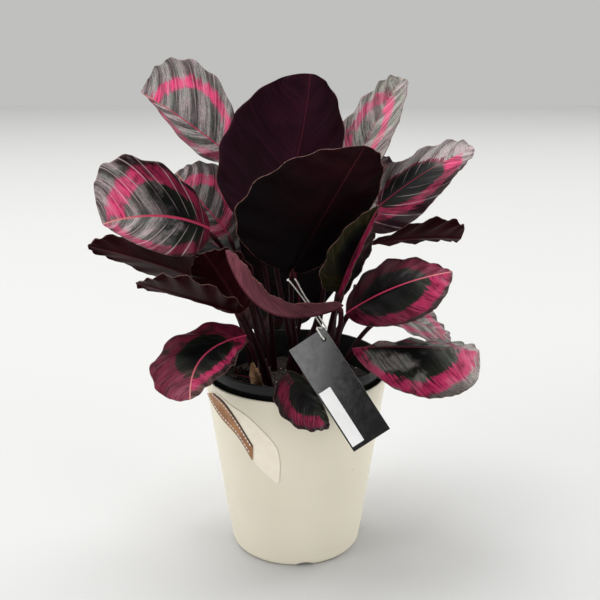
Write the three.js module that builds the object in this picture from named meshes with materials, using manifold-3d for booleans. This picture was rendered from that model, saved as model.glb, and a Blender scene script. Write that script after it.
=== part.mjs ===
// A calathea in its pot: a clump of patterned leaves on slender stalks, standing in soil
// in a black nursery pot, which stands in a tall cream pot with a swing tag and a label.
// Millimetres, +Z up. The origin is the centre of the cream pot's underside, on the table.
// +X is the viewer's right and -Y faces the viewer.
// The pots, the soil, the tag and the label are made to size. Each leaf is a row of leafTable.

import * as THREE from 'three';
import { mergeVertices } from 'three/addons/utils/BufferGeometryUtils.js';
import Module from 'manifold-3d';

const wasm = await Module();
wasm.setup();

// Cream outer pot
const potHeight = 182;
const potRimRadius = 90;
const potFootRadius = 65;
const potWall = 2.4;
const potSides = 40;
const potFloor = 3;
const potFootRounding = 5;
const potFootSteps = 5;
const potRimSteps = 4;
const footRingWidth = 9;
const drainChannelHeight = 3;
const centreDiscRadius = 24;
const drainHoleRadius = 4;
const drainHoleCount = 8;
const drainHoleSides = 10;
const channelSlope = 2;
const notchWidth = 18;
const notchHeight = 4.5;
const notchCount = 4;
const notchSides = 16;
const firstNotchDegrees = -82;

// Clearance left between pieces that touch
const restingGap = 0.3;

// Black nursery pot inside it
const innerRimHeight = 195;
const innerLipRadius = 85.6;
const innerLipHeight = 9;
const innerLipWidth = 2.6;
const innerTopRadius = 84;
const innerFootRadius = 57;
const innerWall = 1.4;
const innerFootBevel = 2;
const lipRounding = 1.2;
const lipSteps = 3;

// Soil
const soilTop = 168;
const soilCrown = 1.2;
const soilShoulder = 2;
const soilLevelShare = 0.6;
const stalkHoleDepth = 9.3;
const stalkHoleClearance = 1.1;
const stalkHoleSides = 8;

// Leaf blades
const bladeThickness = 0.9;
const midribThickness = 2.2;
const bladeRows = 12;
const bladeColumns = 3;
const columnSpacing = 0.85;
const midribTaper = 0.6;
const pleatDepth = 1.6;
const pleatGrowth = 1.3;
const pleatFade = 2.5;
const edgeScallop = 0.025;
const edgeWander = 2.5;
const wanderTurns = 1.3;
const wanderFade = 2;
const veinSweep = 0.21;
const veinCurve = 1.4;
const tipStretch = 0.05;

// Leaf stalks
const stalkRadius = 2.4;
const sheathRadius = 3.6;
const stalkSides = 5;
const stalkSteps = 8;
const stalkLean = 0.3;
const stalkIntoBlade = 5;
const stalkHandles = [0.4, 0.35];
const entryAlongBlade = 0.6;
const entryAlongStalk = 0.8;
const sheathTaper = 2.2;

// Swing tag, its blank sticker and its string
const tagWidth = 38;
const tagLength = 106;
const tagThickness = 0.8;
const tagHoleRadius = 2.2;
const tagHoleSides = 12;
const tagHoleInset = new THREE.Vector2(6, 9);
const tagTop = new THREE.Vector3(10, -77, 239);
const tagDown = new THREE.Vector3(58, -38, -82).normalize();
const tagAcrossHint = new THREE.Vector3(34, 0, 20);
const stickerWidth = 12;
const stickerLength = 55;
const stickerThickness = 0.6;
const stickerLeft = -17.5;
const stickerTop = 47;
const stringRadius = 0.8;
const stringSides = 8;
const stringSteps = 44;
const stringSpread = new THREE.Vector3(1.2, 0.4, 0.6);
const stringSlack = 0.6;
// Where the string lies at the tag: down from its top edge and out of its face
const stringFront = [[8, 1.9], [2, 1.7], [-2.5, 0.5]];
const stringBack = [[1, -3], [8, -1.9]];
// The leaf stalk that the string goes round, the way round it, and the route up to it
const stringRound = new THREE.Vector3(-3.4, -32.2, 281);
const stringTurn = [0, 45, 90, 135, 180, 233];
const stringRoute = [
  new THREE.Vector3(27, -55, 241),
  new THREE.Vector3(23, -44, 245),
  new THREE.Vector3(16, -38, 254),
  new THREE.Vector3(7, -37, 267),
];

// Hanging label on the cream pot
const labelThickness = 0.8;
const labelGap = 0.65;
const labelRows = 8;
const labelColumns = 4;
const labelLeft = [[-160, 168], [-144, 153], [-129, 140], [-118, 116], [-110, 105], [-103, 97]];
const labelRight = [[-143, 177], [-132, 171], [-120, 164], [-110, 151], [-102, 136], [-100, 118], [-101, 98]];
const strapLeft = [[-160, 168], [-144, 153], [-129, 140], [-119, 118]];
const strapRight = [[-148, 175], [-138, 172], [-128, 158], [-117.5, 134]];
const strapThickness = 0.8;

const degrees = Math.PI / 180;
const mergeDistance = 1e-4;

// Materials
const colour = (hex, roughness, metalness = 0) =>
  new THREE.MeshStandardMaterial({ color: hex, roughness, metalness });
const creamPlastic = colour('#ddd8c6', 0.45);
const blackPlastic = colour('#1b1d1c', 0.5);
const pottingSoil = colour('#2e221b', 0.95);
const leafGreen = colour('#4b2a3c', 0.45);
const blackCard = colour('#16171a', 0.25);
const whitePaper = colour('#eeece6', 0.7);
const whiteString = colour('#d9d5cc', 0.9);
const tanLeather = colour('#8f6848', 0.6);
const driedSheath = colour('#8d6d47', 0.85);

const part = new THREE.Group();
part.name = 'potted_pink_star_calathea';

function addPiece(name, geometry, material) {
  const mesh = new THREE.Mesh(geometry, material);
  mesh.name = name;
  part.add(mesh);
  return mesh;
}

// A closed geometry as a solid that can be joined and cut. Triangles whose corners meet are dropped.
function solidOf(geometry) {
  const bare = geometry.clone();
  bare.deleteAttribute('normal');
  bare.deleteAttribute('uv');
  const merged = mergeVertices(bare, mergeDistance);
  const corners = merged.index.array;
  const kept = [];
  for (let i = 0; i < corners.length; i += 3) {
    const [a, b, c] = corners.slice(i, i + 3);
    if (a !== b && b !== c && c !== a) kept.push(a, b, c);
  }
  return new wasm.Manifold(new wasm.Mesh({
    numProp: 3,
    vertProperties: new Float32Array(merged.attributes.position.array),
    triVerts: new Uint32Array(kept),
  }));
}

function geometryOf(solid) {
  const mesh = solid.getMesh();
  const geometry = new THREE.BufferGeometry();
  geometry.setAttribute('position', new THREE.BufferAttribute(mesh.vertProperties, 3));
  geometry.setIndex(new THREE.BufferAttribute(mesh.triVerts, 1));
  geometry.computeVertexNormals();
  return geometry;
}

// A lathe profile given as [radius, height] turned about the vertical axis
function turned(profile, sides) {
  const geometry = new THREE.LatheGeometry(profile.map(([r, z]) => new THREE.Vector2(r, z)), sides);
  return geometry.rotateX(Math.PI / 2);
}

function roundCorner(centreRadius, centreHeight, radius, fromDegrees, toDegrees, steps) {
  return Array.from({ length: steps + 1 }, (_, i) => {
    const angle = (fromDegrees + (toDegrees - fromDegrees) * i / steps) * degrees;
    return [centreRadius + radius * Math.cos(angle), centreHeight + radius * Math.sin(angle)];
  });
}

// Outer radius of the cream pot at a height
function potRadius(z) {
  return potFootRadius + (potRimRadius - potFootRadius) * z / potHeight;
}

function outerPot() {
  const floor = drainChannelHeight + potFloor;
  const footInside = potFootRadius - footRingWidth;
  const profile = [
    [0, 0],
    [centreDiscRadius, 0],
    [centreDiscRadius + channelSlope, drainChannelHeight],
    [footInside - channelSlope, drainChannelHeight],
    [footInside, 0],
    ...roundCorner(potFootRadius - potFootRounding, potFootRounding, potFootRounding, -90, 0, potFootSteps),
    ...roundCorner(potRimRadius - potWall / 2, potHeight - potWall / 2, potWall / 2, 0, 180, potRimSteps),
    [potRadius(floor) - potWall, floor],
    [0, floor],
  ];
  let pot = solidOf(turned(profile, potSides));
  for (let i = 0; i < drainHoleCount; i++) {
    const angle = (i + 0.5) / drainHoleCount * 2 * Math.PI;
    const radius = (centreDiscRadius + footInside) / 2;
    const hole = new THREE.CylinderGeometry(drainHoleRadius, drainHoleRadius, 3 * floor, drainHoleSides)
      .rotateX(Math.PI / 2)
      .translate(radius * Math.cos(angle), radius * Math.sin(angle), 0);
    pot = pot.subtract(solidOf(hole));
  }
  // Arched notches through the foot ring, each the upper half of a flat ellipse
  for (let i = 0; i < notchCount; i++) {
    const angle = (firstNotchDegrees + i * 360 / notchCount) * degrees;
    const arch = new THREE.CylinderGeometry(1, 1, 2.5 * footRingWidth, notchSides)
      .rotateZ(Math.PI / 2)
      .scale(1, notchWidth / 2, notchHeight)
      .translate(potFootRadius - footRingWidth / 2, 0, 0)
      .rotateZ(angle);
    pot = pot.subtract(solidOf(arch));
  }
  return geometryOf(pot);
}

// Outer radius of the nursery pot at a height
const innerFootHeight = drainChannelHeight + potFloor + restingGap;
function innerRadius(z) {
  const share = (z - innerFootHeight) / (innerRimHeight - innerFootHeight);
  return innerFootRadius + (innerTopRadius - innerFootRadius) * share;
}

function innerPot() {
  const lipFoot = innerRimHeight - innerLipHeight;
  const floor = innerFootHeight + innerWall;
  return turned([
    [0, innerFootHeight],
    [innerFootRadius - innerFootBevel, innerFootHeight],
    [innerFootRadius, innerFootHeight + innerFootBevel],
    [innerRadius(lipFoot), lipFoot],
    [innerLipRadius - lipRounding / 2, lipFoot],
    [innerLipRadius, lipFoot + lipRounding / 2],
    ...roundCorner(innerLipRadius - lipRounding, innerRimHeight - lipRounding, lipRounding, 0, 90, lipSteps),
    [innerLipRadius - innerLipWidth, innerRimHeight - lipRounding],
    [innerRadius(lipFoot) - innerWall, lipFoot],
    [innerRadius(floor) - innerWall, floor],
    [0, floor],
  ], potSides);
}

// Width of a blade along its length, from 0 at the base through 1 at the widest to 0 at the tip
function bladeWidth(along, shape) {
  const [base, tip] = shape;
  const widest = base / (base + tip);
  return (along / widest) ** base * ((1 - along) / (1 - widest)) ** tip;
}

// Points of a blade: its upper and under faces as rows of points across from edge to edge
function bladePoints(leaf) {
  const base = new THREE.Vector3(...leaf.base);
  const tip = new THREE.Vector3(...leaf.tip);
  const chord = tip.clone().sub(base).normalize();
  const facing = new THREE.Vector3(...leaf.face);
  facing.addScaledVector(chord, -facing.dot(chord)).normalize();
  const side = chord.clone().cross(facing);
  const middle = base.clone().add(tip).multiplyScalar(0.5)
    .addScaledVector(facing, 2 * leaf.arch)
    .addScaledVector(side, 2 * leaf.bow);
  const midrib = new THREE.QuadraticBezierCurve3(base, middle, tip);
  const upper = [];
  const under = [];
  for (let i = 0; i <= bladeRows; i++) {
    const x = i / bladeRows;
    const row = x - tipStretch * Math.sin(2 * Math.PI * x);
    const pleat = Math.cos(Math.PI * i);
    const ends = 4 * row * (1 - row);
    const pleatHere = leaf.relief * pleatDepth * pleat * Math.min(1, pleatFade * ends);
    const wanderHere = leaf.relief * edgeWander * Math.min(1, wanderFade * ends);
    const upperRow = [];
    const underRow = [];
    for (let j = -bladeColumns; j <= bladeColumns; j++) {
      const across = (Math.abs(j) / bladeColumns) ** columnSpacing;
      const hand = j < 0 ? 0 : 1;
      const sign = j < 0 ? -1 : 1;
      const along = Math.min(1, row + veinSweep * ends * across ** veinCurve);
      const point = midrib.getPoint(along);
      const forward = midrib.getTangent(along).normalize();
      const normal = facing.clone().addScaledVector(forward, -facing.dot(forward)).normalize();
      const right = forward.clone().cross(normal);
      const outline = hand === 1 && leaf.rightShape ? leaf.rightShape : leaf.shape;
      const halfWidth = leaf.half[hand] * bladeWidth(along, outline);
      const out = across * halfWidth * (1 + edgeScallop * pleat * across);
      const fold = leaf.fold[hand] * degrees;
      const sideways = out * Math.cos(fold);
      let lift = out * Math.sin(fold);
      lift += pleatHere * across ** pleatGrowth;
      lift += wanderHere * across ** 2 * Math.sin(2 * Math.PI * wanderTurns * x + leaf.phase + sign);
      point.addScaledVector(right, sign * sideways).addScaledVector(normal, lift);
      const pointed = i === 0 || i === bladeRows;
      const slope = j === 0 || pointed ? 0 : fold;
      const outward = normal.clone().multiplyScalar(Math.cos(slope))
        .addScaledVector(right, -sign * Math.sin(slope));
      const onMidrib = j === 0 && !pointed;
      const thickness = onMidrib ? midribThickness * (1 - midribTaper * x) : bladeThickness;
      upperRow.push(point);
      underRow.push(point.clone().addScaledVector(outward, -thickness));
    }
    upper.push(upperRow);
    under.push(underRow);
  }
  return { upper, under };
}

// A closed sheet between two grids of points, both split into triangles alike, with a rim all round
function sheetGeometry(top, bottom) {
  const corners = [];
  const cell = (a, b, c, d) => [a, b, c, a, c, d].forEach((p) => corners.push(p.x, p.y, p.z));
  const cellBelow = (a, b, c, d) => [a, c, b, a, d, c].forEach((p) => corners.push(p.x, p.y, p.z));
  const rows = top.length - 1;
  const columns = top[0].length - 1;
  for (let i = 0; i < rows; i++) {
    for (let j = 0; j < columns; j++) {
      cell(top[i][j], top[i][j + 1], top[i + 1][j + 1], top[i + 1][j]);
      cellBelow(bottom[i][j], bottom[i][j + 1], bottom[i + 1][j + 1], bottom[i + 1][j]);
    }
    cell(bottom[i][columns], bottom[i + 1][columns], top[i + 1][columns], top[i][columns]);
    cell(top[i][0], top[i + 1][0], bottom[i + 1][0], bottom[i][0]);
  }
  for (let j = 0; j < columns; j++) {
    cell(bottom[0][j], bottom[0][j + 1], top[0][j + 1], top[0][j]);
    cell(top[rows][j], top[rows][j + 1], bottom[rows][j + 1], bottom[rows][j]);
  }
  const geometry = new THREE.BufferGeometry();
  geometry.setAttribute('position', new THREE.Float32BufferAttribute(corners, 3));
  return geometry;
}

// A round rod along a curve, its radius given along its length, closed at its ends or on itself
function rod(curve, radiusAt, sides, steps, looped = false) {
  const rings = [];
  let reference = new THREE.Vector3(0.3, 1, 0.1).normalize();
  const count = looped ? steps : steps + 1;
  for (let i = 0; i < count; i++) {
    const t = i / steps;
    const centre = curve.getPoint(t);
    const forward = curve.getTangent(t);
    reference = reference.clone().addScaledVector(forward, -reference.dot(forward)).normalize();
    const other = forward.clone().cross(reference);
    const radius = radiusAt(t);
    rings.push(Array.from({ length: sides }, (_, k) => {
      const angle = 2 * Math.PI * k / sides;
      return centre.clone()
        .addScaledVector(reference, radius * Math.cos(angle))
        .addScaledVector(other, radius * Math.sin(angle));
    }));
  }
  const corners = [];
  const put = (...list) => list.forEach((p) => corners.push(p.x, p.y, p.z));
  // On a loop the first ring is met again, turned by the whole number of sides that fits best
  let shift = 0;
  if (looped) {
    const gaps = rings[0].map((_, k) => rings[count - 1][0].distanceTo(rings[0][k]));
    shift = gaps.indexOf(Math.min(...gaps));
  }
  for (let i = 0; i < steps; i++) {
    const closing = looped && i === count - 1;
    const here = rings[i];
    const next = closing ? rings[0] : rings[i + 1];
    const move = closing ? shift : 0;
    for (let k = 0; k < sides; k++) {
      const a = here[k];
      const b = here[(k + 1) % sides];
      const c = next[(k + 1 + move) % sides];
      const d = next[(k + move) % sides];
      put(a, b, c, a, c, d);
    }
  }
  if (!looped) {
    const first = curve.getPoint(0);
    const last = curve.getPoint(1);
    for (let k = 0; k < sides; k++) {
      put(first, rings[0][(k + 1) % sides], rings[0][k]);
      put(last, rings[steps][k], rings[steps][(k + 1) % sides]);
    }
  }
  const geometry = new THREE.BufferGeometry();
  geometry.setAttribute('position', new THREE.Float32BufferAttribute(corners, 3));
  return geometry;
}

// The stalk rises out of its hole in the soil and runs into the blade's midrib
function stalkCurve(leaf) {
  const [x, y] = leaf.foot;
  const base = new THREE.Vector3(...leaf.base);
  const tip = new THREE.Vector3(...leaf.tip);
  const soil = new THREE.Vector3(x, y, soilTop);
  const rise = base.clone().sub(soil);
  const start = new THREE.Vector3(rise.x * stalkLean, rise.y * stalkLean, rise.z).normalize();
  const chord = tip.clone().sub(base).normalize();
  const enter = chord.clone().multiplyScalar(entryAlongBlade)
    .addScaledVector(rise.clone().normalize(), entryAlongStalk).normalize();
  const foot = soil.clone().addScaledVector(start, restingGap - stalkHoleDepth);
  const end = base.clone().addScaledVector(chord, stalkIntoBlade);
  const reach = rise.length();
  return new THREE.CubicBezierCurve3(
    foot,
    foot.clone().addScaledVector(start, reach * stalkHandles[0]),
    end.clone().addScaledVector(enter, -reach * stalkHandles[1]),
    end,
  );
}

function stalkRadiusAt(t) {
  return stalkRadius + (sheathRadius - stalkRadius) * Math.max(0, 1 - sheathTaper * t);
}

// Each leaf: where its stalk leaves the soil, its blade's base and tip, the way its upper face
// looks, its half widths [left, right] seen from above with the tip ahead, the angles by which
// each half lifts, how far the midrib arches up and bows to the right, where its edge's waves
// start, how deep its pleats are, and how blunt its outline is at the base and at the tip, with
// a pair of its own for the right half where the halves differ.
const leafDefaults = { arch: 5, bow: 0, fold: [12, 12], phase: 0, relief: 1, shape: [0.55, 0.52] };
const leafTable = [
  { foot: [-22, 30], base: [-62, 50, 384], tip: [-155, 88, 443.5], face: [-0.45, -0.75, 0.5],
    half: [19, 54], fold: [0, 10], shape: [0.46, 1.3], phase: 0.3, bow: 2, rightShape: [0.66, 0.4] },
  { foot: [-30, -8], base: [-80, -5, 323.5], tip: [-172.7, -42, 335.4], face: [-0.15, -0.85, 0.5],
    half: [46.6, 57.5], fold: [20, 5], arch: 8, shape: [0.55, 0.86], phase: 1.1, rightShape: [0.83, 0.35], bow: 7.4 },
  { foot: [-33, 24], base: [-66, 44, 307], tip: [-120, 66, 366], face: [-0.3, -0.7, 0.65],
    half: [40, 38], phase: 2.1 },
  { foot: [-42, 6], base: [-68, 14, 258], tip: [-196, -6, 308], face: [0.2, 0.8, 0.55],
    half: [36, 38], fold: [5, 15], shape: [0.5, 0.7], phase: 2.9 },
  { foot: [-36, -28], base: [-51, -44, 253], tip: [-138, -76, 291], face: [0.1, 0.55, 0.85],
    half: [45, 40], fold: [2, 14], arch: 0, phase: 4.1 },
  { foot: [0, 10], base: [-22, 6, 314], tip: [14, 20, 464], face: [0.25, 0.9, 0.2],
    half: [50, 76], fold: [40, 0], bow: -5, shape: [0.36, 0.5], phase: 5.0 },
  { foot: [4, -10], base: [-4, -34, 290], tip: [58, -80, 410], face: [0.3, 0.9, 0.5],
    half: [38, 97], fold: [20, -44], arch: 8, shape: [0.45, 0.42], phase: 0.9 },
  { foot: [20, 34], base: [50, 48, 354], tip: [106, 88, 457], face: [-0.6, -0.65, 0.4],
    half: [29, 40], fold: [30, 20], shape: [0.4, 0.52], phase: 1.7 },
  { foot: [32, 6], base: [62, 12, 324.8], tip: [171, 34, 394.8], face: [0, -0.42, 0.9],
    half: [34.7, 61.6], fold: [0, 18], arch: 6, shape: [0.53, 0.53], phase: 2.6, rightShape: [0.31, 0.74], bow: -3.4 },
  { foot: [36, 22], base: [60, 46, 294], tip: [168, 60, 300], face: [-0.1, 0.58, 0.8],
    half: [20, 32], fold: [10, 10], shape: [1.3, 0.25], phase: 3.3 },
  { foot: [24, -18], base: [40, -42, 272], tip: [73, -62, 356], face: [-0.35, -0.85, 0.35],
    half: [26, 22], fold: [50, 55], shape: [0.35, 0.8], phase: 4.4 },
  { foot: [36, -22], base: [46, -50, 254.4], tip: [137.4, -74, 300], face: [0.1, -0.62, 0.8],
    half: [42.7, 36.2], fold: [-18, -12], bow: -3.6, shape: [0.46, 0.89], phase: 5.6, rightShape: [0.55, 0.49] },
  { foot: [44, 12], base: [85, 40, 224], tip: [162, 56, 192], face: [0.3, -0.4, 0.85],
    half: [22, 28], arch: 8, phase: 0.2 },
  { foot: [40, -34], base: [52, -56, 223], tip: [167.7, -62, 222], face: [0, -0.1, 1],
    half: [20.6, 48.6], fold: [2, -40], shape: [1.8, 0.7], phase: 1.3, rightShape: [0.66, 0.33], bow: 4.7 },
  { foot: [-36, -40], base: [-44, -62, 237], tip: [-90, -118, 198], face: [-0.38, -0.42, 0.78],
    half: [44, 46], fold: [10, 5], arch: 8, bow: 16, phase: 2.2 },
  { foot: [4, -50], base: [-7, -78.5, 208], tip: [30, -100.5, 163], face: [-0.25, -0.75, 0.5],
    half: [12, 26], fold: [-30, 8], arch: 8, shape: [0.42, 0.62], phase: 3.0 },
  { foot: [14, -32], base: [43, -70, 268], tip: [-61, -62, 316], face: [0, 0, 1],
    half: [17, 24], fold: [75, 0], arch: -34, relief: 0.35, shape: [0.42, 0.36], phase: 3.8 },
  { foot: [-24, -20], base: [-50, -32, 250], tip: [-83, -37, 308], face: [0.15, 0.95, 0.1],
    half: [28, 32], phase: 4.8 },
  { foot: [-8, 32], base: [6, 42, 222], tip: [-14, 84, 340], face: [0.1, -0.85, 0.4],
    half: [54, 52], fold: [0, 0], phase: 0.6 },
  { foot: [-26, 46], base: [-62, 86, 268], tip: [-128, 138, 300], face: [0.3, -0.5, 0.8],
    half: [40, 40], phase: 1.9 },
  { foot: [26, 48], base: [66, 84, 225], tip: [130, 128, 222], face: [0.1, 0.1, 1],
    half: [34, 34], arch: 8, phase: 2.8 },
  { foot: [4, 62], base: [28, 104, 230], tip: [-64, 110, 208], face: [0, -0.95, 0.3],
    half: [33, 28], arch: 4, phase: 4.0 },
  { foot: [12, 50], base: [58, 92, 310], tip: [90, 134, 374], face: [-0.3, -0.6, 0.6],
    half: [38, 38], phase: 5.2 },
  { foot: [-44, -40], base: [-42, -46, 189], tip: [-58, -42, 190], face: [-0.2, -0.5, 0.9],
    half: [10, 10], arch: 3, phase: 1.0 },
  { foot: [24, 24], base: [45, 20, 250], tip: [78, 48, 320], face: [-0.4, -0.3, 0.85],
    half: [20, 20], phase: 0.5 },
];

// The dried sheath of an old leaf, still standing at the front of the clump
const driedLeaf = {
  ...leafDefaults, foot: [-27, -54], base: [-31, -57, 184], tip: [-39, -64, 212],
  face: [-0.2, -0.9, 0.2], half: [7, 7], fold: [50, 50], arch: 2,
};

function leafName(index) {
  return `leaf_${String(index + 1).padStart(2, '0')}`;
}

const leaves = leafTable.map((leaf) => ({ ...leafDefaults, ...leaf }));

function leafGeometry(leaf) {
  const points = bladePoints(leaf);
  const blade = solidOf(sheetGeometry(points.upper, points.under));
  const stalk = solidOf(rod(stalkCurve(leaf), stalkRadiusAt, stalkSides, stalkSteps));
  return geometryOf(blade.add(stalk));
}

// Soil fills the nursery pot, with a slight crown and a plain hole for each stalk
function soilGeometry() {
  const floor = innerFootHeight + innerWall + restingGap;
  const inside = (z) => innerRadius(z) - innerWall - restingGap;
  let soil = solidOf(turned([
    [0, floor],
    [inside(floor), floor],
    [inside(soilTop - soilShoulder), soilTop - soilShoulder],
    [inside(soilTop) * soilLevelShare, soilTop],
    [0, soilTop + soilCrown],
  ], potSides));
  for (const leaf of [...leaves, driedLeaf]) {
    const curve = stalkCurve(leaf);
    const direction = curve.getTangent(0);
    const length = 2 * stalkHoleDepth;
    const middle = curve.getPoint(0).addScaledVector(direction, length / 2 - restingGap);
    const radius = sheathRadius + stalkHoleClearance;
    const hole = new THREE.CylinderGeometry(radius, radius, length, stalkHoleSides)
      .applyQuaternion(new THREE.Quaternion().setFromUnitVectors(new THREE.Vector3(0, 1, 0), direction))
      .translate(middle.x, middle.y, middle.z);
    soil = soil.subtract(solidOf(hole));
  }
  return geometryOf(soil);
}

// The swing tag's own axes: across it, down its length and out of its printed face
const tagAcross = tagAcrossHint.clone().addScaledVector(tagDown, -tagAcrossHint.dot(tagDown)).normalize();
const tagOut = tagDown.clone().cross(tagAcross).normalize();
function tagPoint(across, down, out) {
  return tagTop.clone().addScaledVector(tagAcross, across)
    .addScaledVector(tagDown, down).addScaledVector(tagOut, out);
}

// A flat card in the tag's plane: its left and top edges, its size, and how far out its back lies
function card(left, top, width, length, thickness, out) {
  // Drawn with the shape's x down the tag and its y across it
  const shape = new THREE.Shape();
  shape.moveTo(top, left);
  shape.lineTo(top + length, left);
  shape.lineTo(top + length, left + width);
  shape.lineTo(top, left + width);
  shape.closePath();
  const frame = new THREE.Matrix4().makeBasis(tagDown, tagAcross, tagOut).setPosition(tagPoint(0, 0, out));
  const geometry = new THREE.ExtrudeGeometry(shape, { depth: thickness, bevelEnabled: false });
  return geometry.applyMatrix4(frame);
}

const holeAcross = tagWidth / 2 - tagHoleInset.x;
const holeDown = tagHoleInset.y;

function tagCard() {
  const centre = tagPoint(holeAcross, holeDown, 0);
  const turn = new THREE.Quaternion().setFromUnitVectors(new THREE.Vector3(0, 1, 0), tagOut);
  const hole = new THREE.CylinderGeometry(tagHoleRadius, tagHoleRadius, 6 * tagThickness, tagHoleSides)
    .applyQuaternion(turn)
    .translate(centre.x, centre.y, centre.z);
  const blank = card(-tagWidth / 2, 0, tagWidth, tagLength, tagThickness, -tagThickness / 2);
  return geometryOf(solidOf(blank).subtract(solidOf(hole)));
}

function tagSticker() {
  return card(stickerLeft, stickerTop, stickerWidth, stickerLength, stickerThickness,
    tagThickness / 2 + restingGap);
}

// The string is one loop: through the tag's hole, up beside itself, and round a leaf's stalk
function tagString() {
  const around = stalkRadius + stringRadius + stringSlack;
  const atTag = ([down, out]) => tagPoint(holeAcross, down, out);
  const beside = (point, side) => point.clone().addScaledVector(stringSpread, side);
  const points = [
    tagPoint(holeAcross, holeDown, 0),
    ...stringFront.map(atTag),
    ...stringRoute.map((point) => beside(point, 1)),
    ...stringTurn.map((angle) => stringRound.clone().add(new THREE.Vector3(
      around * Math.cos(angle * degrees), around * Math.sin(angle * degrees), 0))),
    ...stringRoute.map((point) => beside(point, -1)).reverse(),
    ...stringBack.map(atTag),
  ];
  const curve = new THREE.CatmullRomCurve3(points, true, 'centripetal');
  return rod(curve, () => stringRadius, stringSides, stringSteps, true);
}

// A thin sheet lying round the cream pot between two edges given as [degrees round, height]
function wrappedSheet(left, right, gap, thickness) {
  const spline = (list) => new THREE.SplineCurve(list.map(([a, z]) => new THREE.Vector2(a, z)));
  const [leftEdge, rightEdge] = [spline(left), spline(right)];
  const layer = (out) => Array.from({ length: labelRows + 1 }, (_, i) =>
    Array.from({ length: labelColumns + 1 }, (__, j) => {
      const along = i / labelRows;
      const at = leftEdge.getPoint(along).lerp(rightEdge.getPoint(along), j / labelColumns);
      const radius = potRadius(at.y) + out;
      return new THREE.Vector3(
        radius * Math.cos(at.x * degrees), radius * Math.sin(at.x * degrees), at.y);
    }));
  const mirrored = (grid) => grid.map((row) => row.reverse());
  return geometryOf(solidOf(sheetGeometry(mirrored(layer(gap + thickness)), mirrored(layer(gap)))));
}

addPiece('outer_pot', outerPot(), creamPlastic);
addPiece('inner_pot', innerPot(), blackPlastic);
addPiece('soil', soilGeometry(), pottingSoil);
leaves.forEach((leaf, index) => addPiece(leafName(index), leafGeometry(leaf), leafGreen));
addPiece('dried_sheath', leafGeometry(driedLeaf), driedSheath);
addPiece('tag_card', tagCard(), blackCard);
addPiece('tag_sticker', tagSticker(), whitePaper);
addPiece('tag_string', tagString(), whiteString);
addPiece('pot_label', wrappedSheet(labelLeft, labelRight, labelGap, labelThickness), whitePaper);
addPiece('pot_label_strap', wrappedSheet(strapLeft, strapRight,
  labelGap + labelThickness + restingGap, strapThickness), tanLeather);

export default part;
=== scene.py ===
"""A calathea in its pot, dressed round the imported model.

Shapes are worked out in millimetres and put into Blender in metres. +Z is up and -Y faces the
viewer. The leaves repeat the rows of the part's own leaf table with a finer surface.
"""
import math

import bmesh
import bpy
import numpy as np
from mathutils import Matrix, Vector


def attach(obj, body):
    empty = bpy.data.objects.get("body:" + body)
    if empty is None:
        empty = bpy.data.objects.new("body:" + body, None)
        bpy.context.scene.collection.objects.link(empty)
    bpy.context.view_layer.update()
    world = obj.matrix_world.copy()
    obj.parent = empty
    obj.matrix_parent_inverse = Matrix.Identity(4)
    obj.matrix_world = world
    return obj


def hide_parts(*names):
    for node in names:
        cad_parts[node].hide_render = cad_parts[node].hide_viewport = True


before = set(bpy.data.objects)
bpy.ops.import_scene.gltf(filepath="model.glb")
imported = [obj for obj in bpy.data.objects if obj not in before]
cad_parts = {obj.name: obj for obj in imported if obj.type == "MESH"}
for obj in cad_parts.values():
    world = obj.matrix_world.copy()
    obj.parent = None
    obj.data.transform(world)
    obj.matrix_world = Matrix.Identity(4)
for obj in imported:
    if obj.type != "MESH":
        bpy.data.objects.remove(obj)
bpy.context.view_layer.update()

MM = 0.001

# Camera: the photograph's angle, its frame taken as 600 by 600
CAMERA_AT = (4.3, -835.0, 497.0)
CAMERA_PITCH = 16.33
CAMERA_LENS = 54.0
CAMERA_SENSOR = 36.0

# Surroundings: how bright they are in front of and behind the plant, where that changes along the
# direction's y, and what the camera sees of them
WORLD_FRONT = 0.3
WORLD_BACK = 0.8
WORLD_CHANGE = (-0.8, 0.1)
WORLD_COLOUR = (1.0, 1.0, 0.99, 1.0)
BACKDROP = 0.525
FLOOR_REACH = 6000.0
FLOOR_COLOUR = (0.53, 0.53, 0.525, 1.0)

# Soft lamps: name, place and aim in metres, width in metres, power in watts
LAMPS = (
    ("overhead", (-1.2, 0.8, 5.0), (0, 0, 0.25), 4.0, 240.0),
    ("left_front", (-4.4, -2.6, 3.0), (0, 0, 0.3), 2.4, 90.0),
    ("right_front", (4.0, -2.6, 1.6), (0, 0, 0.2), 2.4, 55.0),
    ("right_back", (4.0, 2.6, 3.0), (0, 0, 0.3), 2.4, 70.0),
    ("tag_sheen", (-1.53, -3.25, 1.08), (0.03, -0.06, 0.2), 0.8, 9.0),
)

# Cream pot, as in the part's source
POT_HEIGHT = 182.0
POT_RIM_RADIUS = 90.0
POT_FOOT_RADIUS = 65.0
POT_WALL = 2.4
POT_FLOOR = 3.0
POT_FOOT_ROUNDING = 5.0
POT_SIDES = 192
POT_WALL_RINGS = (30, 60, 90, 120, 150)
FOOT_RING_WIDTH = 9.0
DRAIN_CHANNEL_HEIGHT = 3.0
CENTRE_DISC_RADIUS = 24.0
CHANNEL_SLOPE = 2.0
DRAIN_HOLE_RADIUS = 4.0
DRAIN_HOLES = 8
NOTCH_WIDTH = 18.0
NOTCH_HEIGHT = 4.5
NOTCHES = 4
FIRST_NOTCH_DEGREES = -82.0
RESTING_GAP = 0.3

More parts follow.
